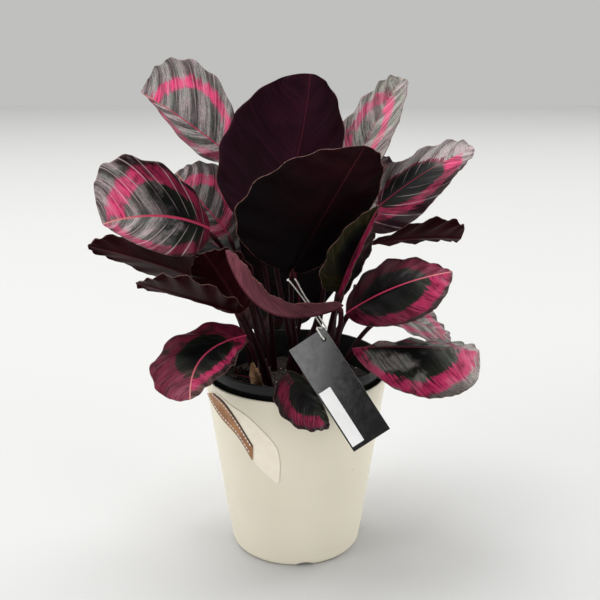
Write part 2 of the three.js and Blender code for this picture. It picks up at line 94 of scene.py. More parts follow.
# Nursery pot
INNER_FOOT_HEIGHT = DRAIN_CHANNEL_HEIGHT + POT_FLOOR + RESTING_GAP
INNER_RIM_HEIGHT = 195.0
INNER_LIP_RADIUS = 85.6
INNER_LIP_HEIGHT = 9.0
INNER_TOP_RADIUS = 84.0
INNER_FOOT_RADIUS = 57.0
INNER_WALL = 1.4
INNER_FOOT_BEVEL = 2.0
INNER_SIDES = 160
LIP_ROUNDING = 1.2
LIP_FOOT_ROUNDING = 0.5

# Soil: the height, width and seed of its heaps and clods, then the crumbs that lie on it, with the
# least and most of what differs between them
SOIL_TOP = 168.0
SOIL_SHOULDER = 2.0
SOIL_LEVEL_SHARE = 0.6
SOIL_RINGS = 72
SOIL_SIDES = 200
HEAPS = (1.1, 14.0, 3)
CLODS = (0.9, 5.0, 4)
GROUND_OCTAVES = 4
GROUND_WAVES = 7
GROUND_FALLOFF = 1.7
GROUND_SPREAD = (0.8, 1.25)
CRUMBS = 900
CRUMB_SEED = 11
CRUMB_SPREAD = 0.97
CRUMB_SIZES = (0.7, 2.6)
WHITE_SIZES = (0.7, 1.5)
WHITE_SHARE = 0.05
CRUMB_WIDTHS = (0.45, 0.9)
CRUMB_HEIGHTS = (0.35, 0.6)
CRUMB_CORNERS = (0.75, 1.15)
CRUMB_SPIN = (0, 6.28)
CRUMB_TILT = (-0.5, 0.5)
CRUMB_RISE = 0.7
BARK_TONES = (0.0, 0.6)

# Swing tag and its string
TAG_WIDTH = 38.0
TAG_LENGTH = 106.0
TAG_THICKNESS = 0.8
TAG_CORNER = 0.5
TAG_HOLE_RADIUS = 2.2
HOLE_ACROSS = TAG_WIDTH / 2 - 6.0
HOLE_DOWN = 9.0
TAG_TOP = (10, -77, 239)
TAG_DOWN = (58, -38, -82)
TAG_ACROSS_HINT = (34, 0, 20)
STICKER_WIDTH = 12.0
STICKER_LENGTH = 55.0
STICKER_LEFT = -17.5
STICKER_TOP = 47.0
STICKER_CORNER = 0.3
STICKER_FACES = (0.02, 0.4)
CARD_SOFTNESS = 0.12
STRING_RADIUS = 0.8
STRING_STEPS = 520
STRING_SPAN_STEPS = 40
STRING_PITCH = 3.0
STRING_SPREAD = (1.2, 0.4, 0.6)
STRING_SLACK = 0.6
STRING_FRONT = ((8, 1.9), (2, 1.7), (-2.5, 0.5))
STRING_BACK = ((1, -3), (8, -1.9))
STRING_ROUND = (-3.4, -32.2, 281)
STRING_TURN = (0, 45, 90, 135, 180, 233)
STRING_ROUTE = ((27, -55, 241), (23, -44, 245), (16, -38, 254), (7, -37, 267))
STRAND_SIDES = 10
STRAND_OFFSET = 0.5
STRAND_RADIUS = 0.53

# Label on the cream pot, its edges given as (degrees round, height), and its strap
LABEL_THICKNESS = 0.8
LABEL_GAP = 0.65
LABEL_FACES = (0.5, 0.95)
LABEL_CURL = 0.25
LABEL_LEFT = ((-160, 168), (-144, 153), (-129, 140), (-118, 116), (-110, 105), (-103, 97))
LABEL_RIGHT = ((-143, 177), (-132, 171), (-120, 164), (-110, 151), (-102, 136), (-100, 118), (-101, 98))
SHEET_ROWS = 90
SHEET_COLUMNS = 26
SHEET_EDGE = (0.45, 0.35)
STRAP_BACK = LABEL_GAP + LABEL_THICKNESS
STRAP_FACES = (STRAP_BACK - 0.2, STRAP_BACK + 0.9)
STRAP_LEFT = ((-160, 168), (-144, 153), (-129, 140), (-119, 118))
STRAP_RIGHT = ((-148, 175), (-138, 172), (-128, 158), (-117.5, 134))
STITCH_INSETS = (4.6, 2.8)
STITCH_MARGINS = (1.2, 1.5)
STITCH_LENGTH = 2.3
STITCH_GAP = 1.3
STITCH_RADIUS = 0.6
STITCH_HUMP = 0.4
STITCH_SUNK = 0.2
STITCH_END = 0.12
STITCH_STEPS = 8
STITCH_SIDES = 8
SEAM_STEPS = 400

# Blade relief, as in the part's source
PLEATS = 6
PLEAT_DEPTH = 1.6
PLEAT_GROWTH = 1.3
PLEAT_FADE = 2.5
EDGE_SCALLOP = 0.025
EDGE_WANDER = 2.5
WANDER_TURNS = 1.3
WANDER_FADE = 2.0
VEIN_SWEEP = 0.21
VEIN_CURVE = 1.4
TIP_STRETCH = 0.05

# Finer relief that only the visible leaves have
BLADE_ROWS = 120
HALF_COLUMNS = 20
SHEATH_ROWS = 40
SHEATH_HALF_COLUMNS = 8
EDGE_THICKNESS = 0.45
KEEL_DEPTH = 1.5
KEEL_WIDTH = 1.7
KEEL_TAPER = 0.6
KEEL_FADE = 6
GROOVE_DEPTH = 0.35
GROOVE_WIDTH = 1.0
FINE_VEINS = 30
FINE_VEIN_DEPTH = 0.07
RIPPLES = 17
RIPPLE_DEPTH = 0.35
RIPPLE_GROWTH = 6

# Markings: how much further forward the painted veins lean than the pleats, where along the blade the
# ring's oval has its middle, and how far out the ring's measure is by the margin
VEIN_LEAN = 0.13
RING_MIDDLE = 0.47
RING_AT_MARGIN = 0.98

# Stalks: how they leave the soil and enter the blade, and how they run out under its midrib
STALK_RADIUS = 2.4
SHEATH_RADIUS = 3.6
SHEATH_TAPER = 2.2
STALK_LEAN = 0.3
STALK_FOOT = 9.0
STALK_INTO_BLADE = 5.0
STALK_ENTRY = (0.6, 0.8)
STALK_HANDLES = (0.4, 0.35)
STALK_SIDES = 14
STALK_STEPS = 44
RUN_OUT = 0.93
RUN_OUT_THINNING = 0.62
RUN_OUT_DEPTH = 1.5
SWELLING = 0.12
SWELLING_LENGTH = 0.025
TUBE_REFERENCE = (0.3, 1, 0.1)


def leaf_row(foot, base, tip, face, half, **own):
    """A leaf as in the part's source: foot on the soil, base and tip of the blade, the way its upper
    face looks, and half widths [left, right]. own holds the angles by which the halves lift, the
    outline's two powers, with a pair of its own for the right half where the halves differ, how far
    the midrib arches and bows, where its waves start, and how strong its relief is."""
    usual = dict(arch=5, bow=0, fold=(12, 12), phase=0.0, relief=1.0, shape=(0.55, 0.52))
    return {**usual, "foot": foot, "base": base, "tip": tip, "face": face, "half": half, **own}


LEAVES = [
    leaf_row((-22, 30), (-62, 50, 384), (-155, 88, 443.5), (-0.45, -0.75, 0.5), (19, 54),
             fold=(0, 10), shape=(0.46, 1.3), right_shape=(0.66, 0.4), bow=2, phase=0.3),
    leaf_row((-30, -8), (-80, -5, 323.5), (-172.7, -42, 335.4), (-0.15, -0.85, 0.5), (46.6, 57.5),
             fold=(20, 5), shape=(0.55, 0.86), right_shape=(0.83, 0.35), arch=8, bow=7.4, phase=1.1),
    leaf_row((-33, 24), (-66, 44, 307), (-120, 66, 366), (-0.3, -0.7, 0.65), (40, 38), phase=2.1),
    leaf_row((-42, 6), (-68, 14, 258), (-196, -6, 308), (0.2, 0.8, 0.55), (36, 38),
             fold=(5, 15), shape=(0.5, 0.7), phase=2.9),
    leaf_row((-36, -28), (-51, -44, 253), (-138, -76, 291), (0.1, 0.55, 0.85), (45, 40),
             fold=(2, 14), arch=0, phase=4.1),
    leaf_row((0, 10), (-22, 6, 314), (14, 20, 464), (0.25, 0.9, 0.2), (50, 76),
             fold=(40, 0), shape=(0.36, 0.5), bow=-5, phase=5.0),
    leaf_row((4, -10), (-4, -34, 290), (58, -80, 410), (0.3, 0.9, 0.5), (38, 97),
             fold=(20, -44), shape=(0.45, 0.42), arch=8, phase=0.9),
    leaf_row((20, 34), (50, 48, 354), (106, 88, 457), (-0.6, -0.65, 0.4), (29, 40),
             fold=(30, 20), shape=(0.4, 0.52), phase=1.7),
    leaf_row((32, 6), (62, 12, 324.8), (171, 34, 394.8), (0, -0.42, 0.9), (34.7, 61.6),
             fold=(0, 18), shape=(0.53, 0.53), right_shape=(0.31, 0.74), arch=6, bow=-3.4, phase=2.6),
    leaf_row((36, 22), (60, 46, 294), (168, 60, 300), (-0.1, 0.58, 0.8), (20, 32),
             fold=(10, 10), shape=(1.3, 0.25), phase=3.3),
    leaf_row((24, -18), (40, -42, 272), (73, -62, 356), (-0.35, -0.85, 0.35), (26, 22),
             fold=(50, 55), shape=(0.35, 0.8), phase=4.4),
    leaf_row((36, -22), (46, -50, 254.4), (137.4, -74, 300), (0.1, -0.62, 0.8), (42.7, 36.2),
             fold=(-18, -12), shape=(0.46, 0.89), right_shape=(0.55, 0.49), bow=-3.6, phase=5.6),
    leaf_row((44, 12), (85, 40, 224), (162, 56, 192), (0.3, -0.4, 0.85), (22, 28), arch=8, phase=0.2),
    leaf_row((40, -34), (52, -56, 223), (167.7, -62, 222), (0, -0.1, 1), (20.6, 48.6),
             fold=(2, -40), shape=(1.8, 0.7), right_shape=(0.66, 0.33), bow=4.7, phase=1.3),
    leaf_row((-36, -40), (-44, -62, 237), (-90, -118, 198), (-0.38, -0.42, 0.78), (44, 46),
             fold=(10, 5), arch=8, bow=16, phase=2.2),
    leaf_row((4, -50), (-7, -78.5, 208), (30, -100.5, 163), (-0.25, -0.75, 0.5), (12, 26),
             fold=(-30, 8), shape=(0.42, 0.62), arch=8, phase=3.0),
    leaf_row((14, -32), (43, -70, 268), (-61, -62, 316), (0, 0, 1), (17, 24),
             fold=(75, 0), shape=(0.42, 0.36), arch=-34, relief=0.35, phase=3.8),
    leaf_row((-24, -20), (-50, -32, 250), (-83, -37, 308), (0.15, 0.95, 0.1), (28, 32), phase=4.8),
    leaf_row((-8, 32), (6, 42, 222), (-14, 84, 340), (0.1, -0.85, 0.4), (54, 52),
             fold=(0, 0), phase=0.6),
    leaf_row((-26, 46), (-62, 86, 268), (-128, 138, 300), (0.3, -0.5, 0.8), (40, 40), phase=1.9),
    leaf_row((26, 48), (66, 84, 225), (130, 128, 222), (0.1, 0.1, 1), (34, 34), arch=8, phase=2.8),
    leaf_row((4, 62), (28, 104, 230), (-64, 110, 208), (0, -0.95, 0.3), (33, 28), arch=4, phase=4.0),
    leaf_row((12, 50), (58, 92, 310), (90, 134, 374), (-0.3, -0.6, 0.6), (38, 38), phase=5.2),
    leaf_row((-44, -40), (-42, -46, 189), (-58, -42, 190), (-0.2, -0.5, 0.9), (10, 10),
             arch=3, phase=1.0),
    leaf_row((24, 24), (45, 20, 250), (78, 48, 320), (-0.4, -0.3, 0.85), (20, 20), phase=0.5),
]
DRIED_SHEATH = leaf_row((-27, -54), (-31, -57, 184), (-39, -64, 212), (-0.2, -0.9, 0.2), (7, 7),
                        fold=(50, 50), arch=2)

MAROON_EDGE = (0.022, 0.004, 0.008)
# The silver bloom's two colours: partly the leaf's own silver, partly painted sheen
SILVER_BLOOM = ((0.36, 0.37, 0.34), (0.50, 0.39, 0.41))


def look(left, right, **own):
    """How a leaf's upper face is marked. left and right hold, for the half on that side: the strength
    of the pink ring, the shares of the way to the margin where it starts and ends, the silver bloom
    inside and outside it, partly the leaf's own silver and partly painted sheen, and how hot its pink
    is. rib is the midrib's strength and half width, pale the strength of the pale side veins,
    dusk how dark painted shade makes the blade by its base, tip the extra bloom and painted
    sheen by its tip, flank how much the bloom keeps to the lit flank of each pleat, patch how
    strong the grey patches of bloom and painted sheen in its middle are, bare the share of
    each half's length from the base that lies in painted shade, without bloom and with duller pink,
    bloom the two colours of the bloom and its painted sheen, and edge the colour beyond
    the ring on each half."""
    usual = dict(rib=(0.9, 0.7), pale=0.3, dusk=0.6, tip=0.2, flank=0.7, patch=0.0,
                 bare=(0.0, 0.0), bloom=SILVER_BLOOM, edge=(MAROON_EDGE, MAROON_EDGE))
    return {**usual, "left": left, "right": right, **own}


USUAL_HALF = (0.9, 0.6, 0.85, 0.05, 0.2, 0.4)
# A half and a whole look painted in shade, for leaves deep in the clump: a weak ring without hot pink,
# hardly any bloom, a faint midrib and full painted shade by the base
DIM_HALF = (0.4, 0.55, 0.85, 0.0, 0.05, 0.0)
USUAL_LOOK = look(USUAL_HALF, USUAL_HALF)
DIM = look(DIM_HALF, DIM_HALF, rib=(0.3, 0.6), pale=0.05, dusk=1.0, tip=0.0)
LOOKS = {
    1: look((0.8, 0.7, 0.97, 1.1, 1.1, 0.3), (1.0, 0.62, 0.8, 1.0, 1.1, 0.95),
            rib=(0.9, 0.6), pale=0.6, dusk=0.1, tip=0.0, flank=0.68),
    2: look((0.9, 0.76, 0.97, 0.8, 1.0, 0.45), (1.0, 0.62, 0.9, 0.75, 0.8, 0.78),
            rib=(1.0, 1.3), pale=0.8, dusk=0.5, tip=0.3, bare=(0.45, 0.54)),
    3: look((0.8, 0.55, 0.8, 0.8, 0.8, 0.6), (0.9, 0.5, 0.72, 0.8, 0.9, 0.8),
            pale=0.6, dusk=0.3, tip=0.1),
    8: look((0.85, 0.5, 0.74, 1.0, 1.2, 0.5), (0.85, 0.38, 0.62, 1.0, 1.2, 0.7),
            rib=(0.4, 0.6), pale=0.9, dusk=0.05, tip=0.3, flank=0.55,
            bloom=((0.36, 0.40, 0.33), (0.52, 0.42, 0.42))),
    9: look((0.3, 0.5, 0.58, 0.0, 1.6, 0.5), (1.0, 0.53, 0.78, 0.0, 1.1, 0.66),
            rib=(0.5, 0.4), pale=0.45, dusk=0.4, tip=0.9, flank=0.65, bare=(0.0, 0.64)),
    11: look((0.0, 0.5, 0.6, 0.0, 0.0, 0.0), (1.0, 0.3, 0.93, 0.0, 0.05, 0.4),
             rib=(0.4, 0.7), pale=0.0, dusk=0.2, tip=0.0, edge=((0.030, 0.028, 0.010), MAROON_EDGE)),
    12: look((0.95, 0.58, 0.95, 0.0, 0.05, 0.1), (1.0, 0.66, 0.95, 0.0, 0.2, 0.45),
             rib=(1.0, 0.9), pale=0.0, dusk=0.8, tip=0.3, patch=0.1),
    13: look((0.8, 0.5, 0.8, 1.1, 1.0, 0.5), (0.8, 0.5, 0.8, 1.0, 0.9, 0.5),
             pale=0.8, dusk=0.0, flank=0.6),
    14: look((0.5, 0.6, 0.8, 0.05, 0.8, 0.3), (1.0, 0.7, 0.97, 0.0, 0.45, 0.55),
             rib=(0.25, 0.4), pale=0.05, dusk=0.45, tip=1.0, flank=0.15, patch=0.6,
             bloom=((0.28, 0.30, 0.26), (0.46, 0.40, 0.38))),
    15: look((1.0, 0.64, 0.86, 0.0, 0.1, 0.4), (0.9, 0.58, 1.3, 0.0, 0.1, 0.08),
             rib=(1.0, 1.2), pale=0.06, dusk=0.3, tip=0.45, bloom=((0.36, 0.17, 0.15), (0.46, 0.22, 0.21)),
             edge=((0.008, 0.004, 0.005), (0.06, 0.008, 0.014))),
    16: look((0.0, 0.5, 0.9, 0.02, 0.02, 0.0), (0.95, 0.52, 0.85, 0.03, 0.1, 0.2),
             rib=(0.0, 0.8), pale=0.1, dusk=0.5, tip=0.1, edge=((0.004, 0.003, 0.004), MAROON_EDGE)),
    # Leaves 19 to 25 lie deep in the clump and take the look painted in shade
    19: {**DIM, "rib": (0.2, 0.7)},
    **dict.fromkeys(range(20, 26), DIM),
}


# Helpers for points, curves and faces

def unit(v):
    v = np.asarray(v, float)
    return v / np.linalg.norm(v, axis=-1, keepdims=True)


def bezier(points, t):
    """A quadratic or cubic curve through its control points, and its direction, at each t."""
    t = np.atleast_1d(t)[:, None]
    p = [np.asarray(q, float) for q in points]
    degree = len(p) - 1
    value = sum(math.comb(degree, k) * (1 - t) ** (degree - k) * t ** k * p[k]
                for k in range(degree + 1))
    slope = sum(math.comb(degree - 1, k) * (1 - t) ** (degree - 1 - k) * t ** k * (p[k + 1] - p[k])
                for k in range(degree))
    return value, unit(slope)


def travelled(line):
    """How far along a line of points each of them lies."""
    return np.concatenate([[0], np.cumsum(np.linalg.norm(np.diff(line, axis=0), axis=1))])


def ring_faces(first, rings, sides):
    """Faces between rings of points that follow each other, from point number first on."""
    return [(a + k, a + (k + 1) % sides, a + sides + (k + 1) % sides, a + sides + k)
            for a in range(first, first + (rings - 1) * sides, sides) for k in range(sides)]


def cell_faces(number):
    """A face for every cell in a grid of point numbers."""
    return np.stack([number[:-1, :-1], number[:-1, 1:], number[1:, 1:], number[1:, :-1]], -1).reshape(-1, 4)


def side_faces(line, count):
    """Faces from a line of points on one sheet to the same line on the other, count points on."""
    return np.stack([line[:-1], line[1:], line[1:] + count, line[:-1] + count], -1)


def tube(path, directions, radii, sides):
    """Rings of points along a path, with faces between them and a cap at each end."""
    angle = np.linspace(0, 2 * np.pi, sides, endpoint=False)[:, None]
    reference = np.array(TUBE_REFERENCE)
    rings = []
    for p, d, r in zip(path, directions, radii):
        reference = unit(reference - d * (reference @ d))
        rings.append(p + r * (reference * np.cos(angle) + np.cross(d, reference) * np.sin(angle)))
    count = len(rings) * sides
    caps = [tuple(range(sides))[::-1], tuple(range(count - sides, count))]
    return np.concatenate(rings), ring_faces(0, len(rings), sides) + caps


def edited(piece, change):
    """The change is made to the piece's mesh."""
    edit = bmesh.new()
    edit.from_mesh(piece.data)
    change(edit)
    edit.to_mesh(piece.data)
    edit.free()


def face_outwards(piece, sharp_degrees=35):
    edited(piece, lambda edit: bmesh.ops.recalc_face_normals(edit, faces=edit.faces))
    piece.data.set_sharp_from_angle(angle=math.radians(sharp_degrees))


def mesh_piece(name, points, faces, materials=(), slots=None, attributes=None, uv=None, sharp=None):
    """A mesh object from points in millimetres. attributes hold one number for each point, and sharp
    is the angle from which an edge of a closed piece stays sharp."""
    mesh = bpy.data.meshes.new(name)
    mesh.from_pydata((np.asarray(points) * MM).tolist(), [], faces)
    for material in materials:
        mesh.materials.append(material)
    if slots is not None:
        mesh.polygons.foreach_set("material_index", slots)
    if uv is not None:
        corner = np.zeros(len(mesh.loops), int)
        mesh.loops.foreach_get("vertex_index", corner)
        layer = mesh.uv_layers.new(name="leaf")
        layer.data.foreach_set("uv", np.asarray(uv, np.float32)[corner].ravel())
    for key, values in (attributes or {}).items():
        layer = mesh.attributes.new(key, "FLOAT", "POINT")
        layer.data.foreach_set("value", np.asarray(values, np.float32))
    mesh.polygons.foreach_set("use_smooth", [True] * len(mesh.polygons))
    mesh.update()
    piece = bpy.data.objects.new(name, mesh)
    bpy.context.scene.collection.objects.link(piece)
    if sharp is not None:
        face_outwards(piece, sharp)
    return piece


def place(piece, slot, *nodes):
    """The piece rides on the part and stands for those nodes, which it hides. slot is not used."""
    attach(piece, "root")
    if nodes:
        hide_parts(*nodes)


# Shaders: a few words for making node trees

class Field:
    """A value that differs from place to place, with the sums that node trees are made of."""

    def __init__(self, tree, socket):
        self.tree = tree
        self.socket = socket

    def __add__(self, other):
        return self.tree.math("ADD", self, other)

    def __sub__(self, other):
        return self.tree.math("SUBTRACT", self, other)

    def __rsub__(self, other):
        return self.tree.math("SUBTRACT", other, self)

    def __mul__(self, other):
        return self.tree.math("MULTIPLY", self, other)

    def smooth(self, low, high, to_low=0.0, to_high=1.0):
        values = dict(enumerate((self, low, high, to_low, to_high)))
        return self.tree.node("MapRange", values, interpolation_type="SMOOTHSTEP")


class Tree:
    def __init__(self, tree):
        self.nodes = tree.nodes
        self.links = tree.links

    def put(self, socket, value):
        if isinstance(value, Field):
            self.links.new(value.socket, socket)
        else:
            socket.default_value = value

    def node(self, kind, inputs, output=0, **settings):
        """One output of a new node, with its settings made and its inputs filled."""
        made = self.nodes.new("ShaderNode" + kind)
        for key, value in settings.items():
            setattr(made, key, value)
        for key, value in inputs.items():
            self.put(made.inputs[key], value)
        return Field(self, made.outputs[output])

    def math(self, operation, *values):
        return self.node("Math", dict(enumerate(values)), operation=operation)

    def mix(self, factor, a, b):
        a, b = ((*colour, 1.0) if isinstance(colour, tuple) else colour for colour in (a, b))
        return self.node("Mix", {"Factor": factor, 6: a, 7: b}, 2, data_type="RGBA")

    def attribute(self, name):
        return self.node("Attribute", {}, "Fac", attribute_name=name)

    def split(self, vector):
        first = self.node("SeparateXYZ", {0: vector})
        return [Field(self, output) for output in first.socket.node.outputs]

    def uv(self):
        return self.split(self.node("UVMap", {}, uv_map="leaf"))[:2]

    def position(self):
        return self.node("TexCoord", {}, "Object")

    def vector(self, *values):
        return self.node("CombineXYZ", dict(enumerate(values)))

    def noise(self, vector, scale, detail=3.0, roughness=0.5):
        inputs = dict(Vector=vector, Scale=scale, Detail=detail, Roughness=roughness)
        return self.node("TexNoise", inputs, "Fac")

    def drawn_noise(self, across, along, detail=4.0, roughness=0.6):
        """Noise at one scale across the vertical axis and another along it."""
        x, y, z = self.split(self.position())
        return self.noise(self.vector(x * across, y * across, z * along), 1.0, detail, roughness)

    def cells(self, vector, scale):
        return self.node("TexVoronoi", dict(Vector=vector, Scale=scale), "Distance")

    def bump(self, height, strength, distance):
        return self.node("Bump", dict(Height=height, Strength=strength, Distance=distance))


class Shader(Tree):
    def __init__(self, name):
        self.material = bpy.data.materials.new(name)
        self.material.use_nodes = True
        super().__init__(self.material.node_tree)

    def set(self, **values):
        surface = self.nodes["Principled BSDF"]
        for key, value in values.items():
            self.put(surface.inputs[key.replace("_", " ")], value)
        return self.material


# Leaf faces

def leaf_lines(s, along, rib, rim, half_rib):
    """Masks that both faces share: the midrib, the side veins and the thin margin."""
    midrib = (rib - along.smooth(1.1, 0.3, 0.35, 1.0) * half_rib).smooth(0.35, -0.2)
    vein = s.math("PINGPONG", along * (2 * PLEATS), 0.5).smooth(0.07, 0.0)
    return midrib, vein, rim.smooth(0.9, 0.25)


def leaf_place(s):
    """Where a point lies on the blade: from left 0 to right 1, along it, and out from the rib."""
    side, along = s.uv()
    return side, along, s.math("ABSOLUTE", side * 2.0 - 1.0)


def upper_face(index):
    marks = LOOKS.get(index, USUAL_LOOK)
    s = Shader(f"leaf_{index:02d}_upper")
    side, along, across = leaf_place(s)
    hand = side.smooth(0.49, 0.51)
    ring, rib, rim = (s.attribute(name) for name in ("ring", "rib", "rim"))
    at = s.position()
    streaks = s.noise(s.vector(along * 60.0, across * 2.2, side), 1.0, 5.0, 0.65)
    hatch = s.noise(s.vector(along * 210.0, across * 6.0, side), 1.0, 3.0, 0.6)
    slow = s.noise(at, 26.0, 2.0)
    patch = s.noise(at, 75.0, 4.0, 0.6)
    speck = s.noise(at, 700.0, 3.0, 0.7)
    strength, width = marks["rib"]
    midrib, vein, margin = leaf_lines(s, along, rib, rim, width)
    halves = zip((*marks["left"], marks["bare"][0]), (*marks["right"], marks["bare"][1]))
    band, inner, outer, frost_in, frost_out, hot, bare = (
        left if left == right else hand.smooth(0.0, 1.0, left, right) for left, right in halves)

    # The pink ring, with a feathered edge that follows the side veins
    at_ring = ring + (streaks - 0.5) * 0.3 + (hatch - 0.5) * 0.2 + (slow - 0.5) * 0.14
    inside = (at_ring - inner).smooth(0.012, -0.012)
    outside = (at_ring - outer).smooth(-0.015, 0.02)
    broken = (patch + (slow - 0.5) * 0.8).smooth(0.28, 0.45, 0.4, 1.0)
    strip = (1.0 - s.math("MAXIMUM", inside, outside)) * band * broken

    # The body of the blade: near black, green by the ring, the edge's own colour outside it
    green = (ring + streaks * 0.5).smooth(0.55, 0.95)
    body = s.mix(green, (0.0025, 0.0025, 0.003), (0.010, 0.014, 0.008))
    body = s.mix(speck.smooth(0.5, 0.75, 0.0, 0.5), body, (0.022, 0.026, 0.022))
    edge = s.mix(hand, *marks["edge"])
    edge = s.mix(streaks.smooth(0.35, 0.65, 0.0, 0.7), edge, (0.003, 0.001, 0.002))
    body = s.mix(outside, body, edge)

    # Silver bloom, partly the leaf's own silver and partly painted sheen: brighter on the lit flank of each
    # pleat, in grey patches of painted sheen and by the tip, and kept off the painted shade by the base
    pleat = s.math("SINE", along * (2 * math.pi * PLEATS) + 1.2)
    stripe = (pleat + (slow - 0.5) * 1.5).smooth(-0.75, 0.35, 1.0 - marks["flank"], 1.0)
    worn = (streaks + (hatch - 0.5) * 0.8).smooth(0.33, 0.62, 0.3, 1.05)
    spots = s.noise(at, 34.0, 3.0, 0.55).smooth(0.44, 0.54, 0.0, marks["patch"])
    grown = (along + (patch - 0.5) * 0.5 - bare).smooth(-0.2, 0.02)
    within = spots * across.smooth(0.05, 0.25) + frost_in
    frost = (1.0 - outside) * within + outside * frost_out + along.smooth(0.5, 0.95, 0.0, marks["tip"])
    frost = s.math("MINIMUM", stripe * worn * frost * grown, 1.0)
    silver = s.mix(patch.smooth(0.35, 0.65), *marks["bloom"])
    silver = s.mix(speck.smooth(0.4, 0.65, 0.0, 0.5), silver, (0.16, 0.13, 0.13))
    body = s.mix(frost, body, silver)

    # Pink from deep to bright, duller in the painted shade by the base and paler under the bloom and its
    # painted sheen
    hot = grown.smooth(0.0, 1.0, 0.35, 1.0) * hot
    deep = s.mix(hot, (0.035, 0.002, 0.010), (0.22, 0.005, 0.04))
    bright = s.mix(hot, (0.11, 0.012, 0.026), (0.86, 0.045, 0.20))
    pink = s.mix((streaks + (patch - 0.5) * 0.6).smooth(0.3, 0.6), deep, bright)
    pink = s.mix(frost * 0.35, pink, (0.74, 0.33, 0.42))
    colour = s.mix(strip, body, pink)

    # Pale side veins, painted shade darkening the blade towards its base, the midrib and the thin margin
    pale = vein * across.smooth(0.05, 0.35, 0.0, marks["pale"]) * slow.smooth(0.4, 0.58, 0.25, 1.0)
    colour = s.mix(pale, colour, (0.56, 0.46, 0.46))
    dusk = (along + (slow - 0.5) * 0.5).smooth(0.75, 0.1, 0.0, marks["dusk"])
    colour = s.mix(dusk, colour, (0.003, 0.0015, 0.002))
    rib_tone = s.mix(along.smooth(0.5, 0.95), (0.42, 0.04, 0.09), (0.62, 0.24, 0.22))
    colour = s.mix(midrib * strength, colour, rib_tone)
    colour = s.mix(margin * streaks.smooth(0.35, 0.6, 0.1, 0.7), colour, (0.22, 0.12, 0.10))
    height = hatch * 0.6 + s.noise(at, 1500.0, 1.0) * 0.4
    return s.set(Base_Color=colour, Roughness=slow.smooth(0.3, 0.7, 0.3, 0.42),
                 Specular_IOR_Level=0.06, Normal=s.bump(height, 0.45, 0.0004))


def under_face(name, base, vein_colour, dusk=0.3, rimmed=0.5):
    """A blade's under face: one dark colour, cloudy, with faint veins, darkened towards its base by
    painted shade, with a painted highlight along its margin.
    """
    s = Shader(name)
    side, along, across = leaf_place(s)
    at = s.position()
    streaks = s.noise(s.vector(along * 50.0, across * 2.0, side), 1.0, 4.0, 0.6)
    hatch = s.noise(s.vector(along * 170.0, across * 4.0, side), 1.0, 2.0)
    slow = s.noise(at, 22.0, 2.0)
    midrib, vein, margin = leaf_lines(s, along, s.attribute("rib"), s.attribute("rim"), 0.8)
    dark = tuple(0.4 * c for c in base)
    colour = s.mix((slow * 0.5 + streaks * 0.5).smooth(0.35, 0.65), dark, base)
    colour = s.mix(vein * 0.2, colour, vein_colour)
    colour = s.mix(midrib * 0.6, colour, (0.10, 0.018, 0.03))
    # Painted shade, darker towards the base
    shade = (along + (slow - 0.5) * 0.4).smooth(0.95, 0.2, 0.0, dusk)
    colour = s.mix(shade, colour, (0.0012, 0.0005, 0.0008))
    # A pale line along the margin: painted highlight where the edge catches light
    colour = s.mix(margin * streaks.smooth(0.35, 0.65, 0.1, rimmed), colour, (0.26, 0.12, 0.10))
    height = hatch * 0.6 + s.noise(at, 1300.0, 1.0) * 0.4
    return s.set(Base_Color=colour, Roughness=0.5, Specular_IOR_Level=0.05,
                 Normal=s.bump(height, 0.4, 0.0004))


def stalk_skin():
    s = Shader("leaf_stalk")
    streaks = s.drawn_noise(900.0, 60.0)
    colour = s.mix(streaks.smooth(0.3, 0.7), (0.003, 0.0006, 0.001), (0.026, 0.0025, 0.006))
    colour = s.mix(s.attribute("rib").smooth(0.9, 0.97), colour, (0.05, 0.010, 0.014))
    fleck = s.noise(s.position(), 1400.0, 1.0)
    colour = s.mix(fleck.smooth(0.62, 0.72, 0.0, 0.4), colour, (0.05, 0.011, 0.015))
    return s.set(Base_Color=colour, Roughness=0.5, Specular_IOR_Level=0.08,
                 Normal=s.bump(streaks, 0.4, 0.0005))


def dry_skin():
    s = Shader("dry_skin")
    fibre = s.drawn_noise(1400.0, 90.0)
    cloud = s.noise(s.position(), 160.0, 3.0)
    colour = s.mix(fibre, (0.10, 0.045, 0.022), (0.42, 0.25, 0.12))
    colour = s.mix(cloud.smooth(0.45, 0.7, 0.0, 0.7), colour, (0.06, 0.025, 0.015))
    return s.set(Base_Color=colour, Roughness=0.8, Normal=s.bump(fibre, 0.8, 0.001))


# Leaves

def blade_width(along, leaf, sign):
    """The share of the half width at each place along, by the outline of the half on that side."""
    other = leaf.get("right_shape", leaf["shape"])
    base, tip = (np.where(sign < 0, *pair) for pair in zip(leaf["shape"], other))
    widest = base / (base + tip)
    return (along / widest) ** base * ((1 - along) / (1 - widest)) ** tip


